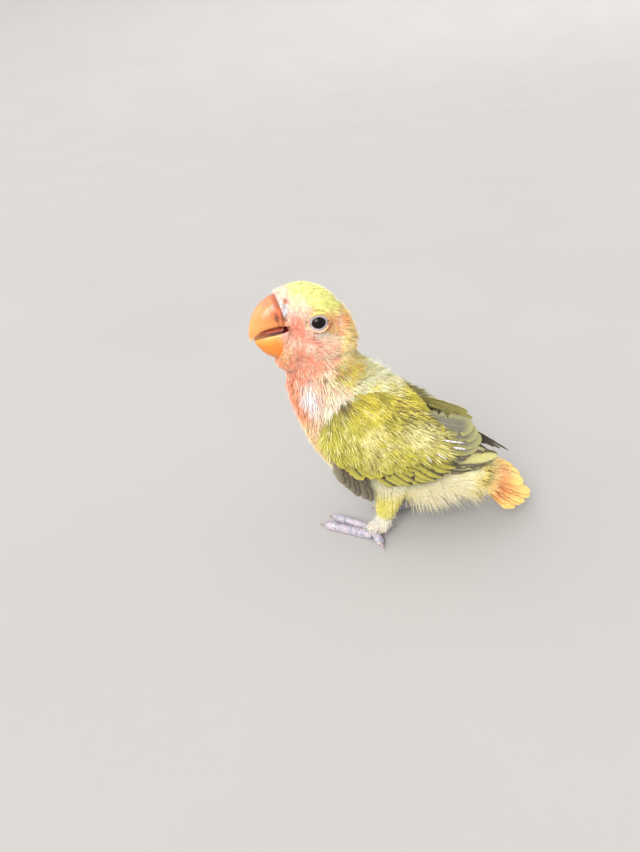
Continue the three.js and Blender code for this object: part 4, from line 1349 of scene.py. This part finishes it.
def bill_rings(stations, hollow):
    """Rings of the upper or lower bill, hollowed from the cutting edges by a share of its height."""
    rings = []
    angle = np.linspace(0, math.pi / 2, 13)
    for ridge_x, ridge_z, edge_x, edge_z, half_width in through(stations, 70):
        down = 1 - np.cos(angle)
        side = np.stack([ridge_x + (edge_x - ridge_x) * down, half_width * np.sin(angle) ** 0.85,
                         ridge_z + (edge_z - ridge_z) * down], 1)
        inside = side[-1] * (1, 0.6, 1) + np.array([ridge_x - edge_x, 0, ridge_z - edge_z]) * hollow
        floor = inside * (1, 0, 1)
        half = np.vstack([side, inside])
        rings.append(np.vstack([half, floor, half[:0:-1] * (1, -1, 1)]))
    return np.array(rings)


def bill_colour(points, upper):
    """Orange horn, yellower along the cutting edge and paler at the tip."""
    ahead = smooth_step(-15, -26, points[:, 0])
    if upper:
        colour = blend(srgb(226, 122, 76), srgb(240, 156, 82), smooth_step(7.5, 2.2, points[:, 2]))
        colour = blend(colour, srgb(244, 168, 96), 0.8 * ahead)
        crease = smooth_step(-17.4, -16.0, points[:, 0] + 0.28 * (13 - points[:, 2]))
        crease = crease * smooth_step(8, 10, points[:, 2])
        colour = blend(colour, srgb(150, 84, 60), 0.7 * crease)
        patch = lengths((points - (-16.1, -6.2, 6.4)) / (2.3, 3, 2.6))
        stripe = np.sin((0.47 * points[:, 0] - 0.89 * points[:, 2] + 0.3 * noise_at(points, 1.0)) * 6.6)
        patch = smooth_step(1.1, 0.6, patch) * smooth_step(-0.5, 0.3, stripe)
        colour = blend(colour, srgb(112, 62, 46), 0.8 * patch)
        colour = blend(colour, srgb(246, 214, 192), smooth_step(-13.0, -12.2, points[:, 0]))
        colour = blend(colour, srgb(252, 226, 178), 0.7 * smooth_step(0.4, -0.9, points[:, 2]) * ahead)
    else:
        colour = blend(srgb(238, 140, 48), srgb(246, 190, 104), smooth_step(-4, 1, points[:, 2]))
        uneven = 0.12 * points[:, 2] + 0.6 * noise_at(points, 1.5, 4.0)
        rear = smooth_step(-18.4, -15.6, points[:, 0] + uneven)
        colour = blend(colour, srgb(232, 172, 164), 0.9 * rear)
    return colour


def bill_piece(name, node, stations, hollow, upper):
    points, triangles = loft(bill_rings(stations, hollow))
    grain = noise_at(points * (1, 1, 2.4), 1.6, 5.0)
    colour = bill_colour(points, upper) * (1 + 0.06 * grain[:, None])
    within = np.abs(points[:, 1]) < 0.62 * np.max(np.abs(points[:, 1]))
    near_gape = np.abs(points[:, 2] - 1.0) < 2.6
    inner = smooth_step(-24, -20, points[:, 0]) * (within & near_gape)
    lining = blend(srgb(160, 56, 44), srgb(214, 146, 92), smooth_step(-17.5, -21, points[:, 0]))
    colour = blend(colour, lining, 0.85 * inner)
    normals = vertex_normals(points, triangles)
    ripple = 0.05 * np.sin(points[:, 0] * 2.1 + 0.6 * points[:, 2]) * smooth_step(-24, -16, points[:, 0])
    points = points + normals * (ripple + 0.03 * grain)[:, None]
    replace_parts(make(name, from_head(points), triangles, HORN, colour), node)


def cere_piece():
    """Bare skin round the nostrils."""
    points, triangles = remeshed(*cad_shape("cere"), *CERE_MESH)
    head = mirrored(to_head(points))
    pore = lengths(head - NOSTRIL_AT)
    spots = smooth_step(-0.5, 0.5, noise_at(points, 1.1))
    colour = blend(srgb(184, 168, 166), srgb(222, 210, 206), spots)
    # Painted shade: greyer and bluer towards the cere's lower part
    colour = blend(colour, srgb(196, 190, 200), 0.7 * smooth_step(9.5, 7.5, head[:, 2]))
    # Nostril: orange-brown rim and a darker middle, partly its own colour and partly painted shade of its
    # opening
    colour = blend(colour, srgb(204, 140, 106), smooth_step(1.25, 0.9, pore))
    colour = blend(colour, PORE_COLOUR, smooth_step(0.9, 0.5, pore))
    colour = blend(colour, plumage(points), smooth_step(5.6, 4.4, head[:, 2]))
    lumps = 0.12 * noise_at(points, 0.8, 2.0) + 0.06 * noise_at(points, 0.35, 4.0)
    covered = 1.0 - bare_cere(to_head(points))
    points = points + vertex_normals(points, triangles) * (lumps - 1.3 * covered)[:, None]
    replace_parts(make("cere_skin", points, triangles, BARE, colour), "cere")


def tongue_piece():
    points, triangles = remeshed(*cad_shape("tongue"), *TONGUE_MESH)
    colour = blend(srgb(214, 124, 108), srgb(232, 160, 140), smooth_step(-0.5, 0.5, noise_at(points, 0.9)))
    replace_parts(make("tongue_flesh", points, triangles, WET, colour), "tongue")


def spun(profile, middle, faces, sides):
    """Rings round an axis, from pairs of radius and height."""
    aside, upward = across_axis(faces)
    angle = np.linspace(0, 2 * math.pi, sides, endpoint=False)
    circle = np.cos(angle)[:, None] * aside + np.sin(angle)[:, None] * upward
    return np.array([middle + circle * r + faces * h for r, h in profile])


def eye_pieces():
    for name, side in SIDES.items():
        middle, faces = eye_middle(side)
        angle = np.linspace(0.02, math.pi - 0.02, 40)
        profile = np.stack([np.sin(angle), np.cos(angle)], 1) * EYE_RADIUS
        profile[:, 1] += 0.18 * smooth_step(0.75, 0.1, angle)
        points, triangles = loft(spun(profile, middle, faces, 56))
        off_axis = lengths(np.cross(points - middle, faces))
        colour = blend(srgb(14, 10, 9), srgb(46, 30, 22), smooth_step(*PUPIL_EDGE, off_axis))
        colour = blend(colour, plumage(from_head(points)), smooth_step(*BALL_EDGE, off_axis))
        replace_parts(make(f"eyeball_{name}", from_head(points), triangles, EYE, colour), f"eye_{name}")
        eyelid_piece(name, middle, faces)


# Ring of bare skin round the eye: radius from the eye's axis and height over the ball's middle
LID_PROFILE = [(2.1, 2.55), (2.16, 2.95), (2.3, 3.12), (2.5, 3.16), (2.7, 3.08), (2.9, 2.92), (3.15, 2.68),
               (3.5, 2.36), (3.9, 1.95), (4.3, 1.3), (3.6, 0.9), (2.6, 1.6)]
LID_RINGS = 34
LID_SIDES = 90


def eyelid_piece(name, middle, faces):
    """An oval ring of lids that follows the eyeball."""
    points = spun(through(LID_PROFILE, LID_RINGS), middle, faces, LID_SIDES).reshape(-1, 3)
    triangles = turned_out(points, walls(LID_RINGS, LID_SIDES, LID_RINGS))
    off_axis = lengths(np.cross(points - middle, faces))
    upward = across_axis(faces)[1]
    high = (points - middle) @ upward
    drop = high * (LID_OPENS - 1)
    closer = np.sqrt(np.maximum(off_axis**2 - high**2 + (high + drop) ** 2, 0))
    ball = [np.sqrt(np.maximum(EYE_RADIUS**2 - r**2, 0)) for r in (closer, off_axis)]
    over_ball = (ball[0] - ball[1]) * smooth_step(4.4, 3.4, off_axis)
    points = points + drop[:, None] * upward + over_ball[:, None] * faces
    beads = mix(0.09, 0.2, smooth_step(3.0, 3.4, off_axis)) * noise_at(points, 0.42, 7.0)
    beads = beads * smooth_step(2.1, 2.5, off_axis)
    folds = 0.05 * np.sin(off_axis * 14)
    points = points + vertex_normals(points, triangles) * (beads + folds)[:, None]
    colour = blend(srgb(168, 158, 164), srgb(204, 192, 192), smooth_step(-0.4, 0.4, noise_at(points, 0.8)))
    # Painted shade: darker purple-grey bands that follow the folds of the ring
    colour = blend(colour, srgb(112, 104, 118), 0.75 * smooth_step(0.2, 0.9, np.sin(off_axis * 14)))
    colour = blend(colour, srgb(64, 54, 56), smooth_step(2.35, 2.12, off_axis))
    rim = plumage(from_head(points)) * (0.94 + 0.1 * noise_at(points, 0.5))[:, None]
    colour = blend(colour, rim, smooth_step(3.0, 3.3, off_axis))
    make(f"eyelid_{name}", from_head(points), triangles, BARE, colour)


# Feet

def limb_shape(stations, sides, count, bumps):
    """A limb along its stations, with bumps given the share along it and the angle from its top."""
    path = through(stations, count)
    middle, radius = path[:, :3], path[:, 3]
    along = unit(np.gradient(middle, axis=0))
    across = unit(np.cross(along, (0.0, 0.0, 1.0)))
    upright = np.abs(along[:, 2:3]) > 0.75
    across = np.where(upright, unit(np.cross(along, (-1.0, 0.0, 0.3))), across)
    over = np.cross(across, along)
    angle = np.linspace(0, 2 * math.pi, sides, endpoint=False)
    share = np.linspace(0, 1, count)
    from_top = np.abs((angle + math.pi) % (2 * math.pi) - math.pi)
    size = np.maximum(radius[:, None] + bumps(share[:, None], from_top[None]), 0.05)
    rings = (middle[:, None] + over[:, None] * (size * np.cos(angle))[..., None]
             + across[:, None] * (size * np.sin(angle))[..., None])
    points, triangles = loft(rings)
    points[:, 2] = np.maximum(points[:, 2], 0.0)
    return points, triangles


def toe_bumps(length, pads):
    """Scutes over a toe, pads under it and fine scales at its sides."""
    def bumps(share, angle):
        top = smooth_step(1.5, 0.9, angle)
        plate = (share * length / 1.25) % 1
        scutes = 0.16 * top * (smooth_step(0, 0.75, plate) - smooth_step(0.8, 1.0, plate))
        pad = 0.18 * smooth_step(1.5, 2.4, angle) * np.sin(share * math.pi * pads) ** 2
        sides = 0.06 * smooth_step(0.9, 1.4, angle) * np.sin(share * length * 7) * np.sin(angle * 9)
        return scutes + pad + sides
    return bumps


def foot_colour(points):
    patches = smooth_step(-0.5, 0.6, noise_at(points, 2.2, 9.0))
    colour = blend(srgb(146, 146, 164), srgb(188, 172, 180), patches)
    return blend(colour, srgb(222, 218, 222), 0.7 * smooth_step(-0.1, 0.6, noise_at(points, 0.6, 6.0)))


def foot_pieces():
    for name, (x, y) in FEET.items():
        side = SIDES[name]
        shank = [(x + dx + LEG_LEANS[name] * max(0, z - ANKLE), y + side * dy, z, r)
                 for dx, dy, z, r in SHANK]
        points, triangles = limb_shape(shank, 22, 60,
                                       lambda share, angle: 0.1 * np.sin(share * 40) * np.cos(angle))
        piece = make(f"shank_{name}", points, triangles, SCALY, foot_colour(points))
        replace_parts(piece, f"foot_{name}")
        shank_down(name, Surface(points, triangles))
        for toe in TOES:
            toe_pieces(name, side, x, y, toe)


SHANK_DOWN_LOWEST = 2.9  # keeps the tufts, which spread round their middle lines, above the floor


def shank_down(name, surface):
    """Sparse pale down over the ankle and the upper shank."""
    style = dict(STYLE, length=3.4, width=0.22, thick=0.06, rise=1.1, stray=0.35, fan=26, rings=3, hugs=0.5,
                 varies=0.4)
    spots = surface.scattered(0.72, surface.middles[:, 2] > 3.4 + noise_at(surface.middles, 1.5, 3.0))
    forward = LEG_LIE - spots[1] * (spots[1] @ LEG_LIE)[:, None]
    paths = paths_on(surface, spots, unit(forward), style)
    paths[0][..., 2] = np.maximum(paths[0][..., 2], SHANK_DOWN_LOWEST)
    base = blend(srgb(250, 240, 226), srgb(240, 228, 190), smooth_step(-0.3, 0.5, noise_at(spots[0], 1.6)))
    coat_piece(f"shank_{name}", tuft_shapes(paths, base, style))


def toe_pieces(name, side, x, y, toe):
    """A toe and its claw, from the foot's root at x and y."""
    turn = math.radians(toe["heading"])
    ahead = np.array([-math.cos(turn), -side * math.sin(turn)])
    length, (dx, dy) = toe["length"], toe["start"]
    low_z = TOE_RADIUS - TOE_FLAT

    def at(distance, z, radius):
        return x + dx + ahead[0] * distance, y - side * dy + ahead[1] * distance, z, radius

    stations = [at(length * share + past, low_z + higher, TOE_RADIUS * size)
                for share, past, higher, size in TOE_PROFILE]
    points, triangles = limb_shape(stations, 26, int(12 + length * 7), toe_bumps(length, toe["pads"]))
    label = f"{name}_{toe['name']}"
    piece = make(f"toe_skin_{label}", points, triangles, SCALY, foot_colour(points))
    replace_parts(piece, f"toe_{label}")

    claw = [at(length - 0.8, low_z, 0.66), at(length + CLAW_LENGTH * 0.3, low_z + 0.2, 0.56),
            at(length + CLAW_LENGTH * 0.7, low_z - 0.1, 0.34), at(length + CLAW_LENGTH, 0.25, 0.1)]
    points, triangles = limb_shape(claw, 16, 26, lambda share, angle: -0.08 * smooth_step(2.2, 2.8, angle))
    colour = blend(srgb(150, 138, 138), srgb(196, 178, 168), smooth_step(-0.4, 0.5, noise_at(points, 0.8)))
    piece = make(f"nail_{label}", points, triangles, HORN, colour)
    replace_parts(piece, f"claw_{label}")


# Floor, light and camera

def stage_floor():
    """A pale floor that curves up far behind the bird."""
    material, principled = shader("floor", Roughness=0.75)
    spot = add(material, "ShaderNodeTexCoord")
    grain = add(material, "ShaderNodeTexNoise", Scale=6.0, Detail=5.0)
    ramp = add(material, "ShaderNodeValToRGB")
    ramp.color_ramp.elements[0].color = (0.40, 0.39, 0.38, 1)
    ramp.color_ramp.elements[1].color = (0.44, 0.43, 0.42, 1)
    link(material, spot.outputs["Object"], grain.inputs["Vector"])
    link(material, grain.outputs["Fac"], ramp.inputs["Fac"])
    link(material, ramp.outputs["Color"], principled.inputs["Base Color"])
    radius = np.array([0.1, 0.3, 0.8, 1.5, 2.1, 2.5, 2.8, 3.0, 3.1])
    height = np.array([0, 0, 0, 0, 0.02, 0.08, 0.2, 0.42, 0.7])
    sides = 72
    angle = np.linspace(0, 2 * math.pi, sides, endpoint=False)
    points = np.stack([radius[:, None] * np.cos(angle), radius[:, None] * np.sin(angle),
                       height[:, None] + 0 * angle], -1).reshape(-1, 3)
    faces = [(r + i, r + sides + i, r + sides + (i + 1) % sides, r + (i + 1) % sides)
             for r in range(0, sides * (len(radius) - 1), sides) for i in range(sides)]
    faces.append(tuple(range(sides)))
    mesh = bpy.data.meshes.new("floor")
    mesh.from_pydata(points.tolist(), [], faces)
    mesh.shade_smooth()
    mesh.materials.append(material)
    floor = put_in("floor", mesh)


def sunlight(name, place, width, power, colour):
    """Even light from the side that the place is on, softened by its width."""
    data = bpy.data.lights.new(name, "SUN")
    data.angle = math.radians(width)
    data.energy = power
    data.color = colour
    put_in(name, data).rotation_euler = Vector(place).to_track_quat("Z", "Y").to_euler()


def light_scene():
    sunlight("key", (-0.25, -0.85, 0.75), 40, 2.6, (1.0, 0.985, 0.96))
    sunlight("fill", (-0.7, 0.1, 0.8), 60, 0.95, (1.0, 0.99, 0.98))
    sunlight("spark", (-0.25, -0.8, 0.75), 4, 0.3, (1.0, 1.0, 1.0))
    world = bpy.data.worlds.new("studio")
    world.use_nodes = True
    background = world.node_tree.nodes["Background"]
    background.inputs["Color"].default_value = (1.0, 0.99, 0.98, 1)
    background.inputs["Strength"].default_value = 0.88
    bpy.context.scene.world = world
    bpy.context.scene.view_settings.view_transform = "Standard"


CAMERA_AT = np.array([18.39, -204.28, 164.77])  # in the bird's frame
CAMERA_AZIMUTH = math.radians(10)
CAMERA_PITCH = math.radians(30.2)
CAMERA_ROLL = math.radians(8.3)
CAMERA_LENS = 27.13


def place_camera():
    """The photo's view: from the bird's left, above it, a little rolled."""
    right = Vector((math.cos(CAMERA_AZIMUTH), math.sin(CAMERA_AZIMUTH), 0))
    forward = Vector((-math.sin(CAMERA_AZIMUTH) * math.cos(CAMERA_PITCH),
                      math.cos(CAMERA_AZIMUTH) * math.cos(CAMERA_PITCH), -math.sin(CAMERA_PITCH)))
    up = right.cross(forward)
    x_axis = right * math.cos(CAMERA_ROLL) - up * math.sin(CAMERA_ROLL)
    y_axis = right * math.sin(CAMERA_ROLL) + up * math.cos(CAMERA_ROLL)
    data = bpy.data.cameras.new("camera")
    data.lens = CAMERA_LENS
    data.sensor_width = 36
    data.clip_start = 0.01
    camera = put_in("camera", data)
    turn = Matrix((x_axis, y_axis, -forward)).transposed()
    camera.matrix_world = Matrix.Translation((CAMERA_AT + BIRD_AT) * MM) @ turn.to_4x4()
    bpy.context.scene.camera = camera


place_camera()
skin_piece()
coat_pieces()
wing_pieces()
tail_piece()
bill_piece("bill_upper", "upper_bill", UPPER_BILL, 0.16, True)
bill_piece("bill_lower", "lower_bill", LOWER_BILL, 0.2, False)
cere_piece()
tongue_piece()
eye_pieces()
foot_pieces()
stage_floor()
light_scene()
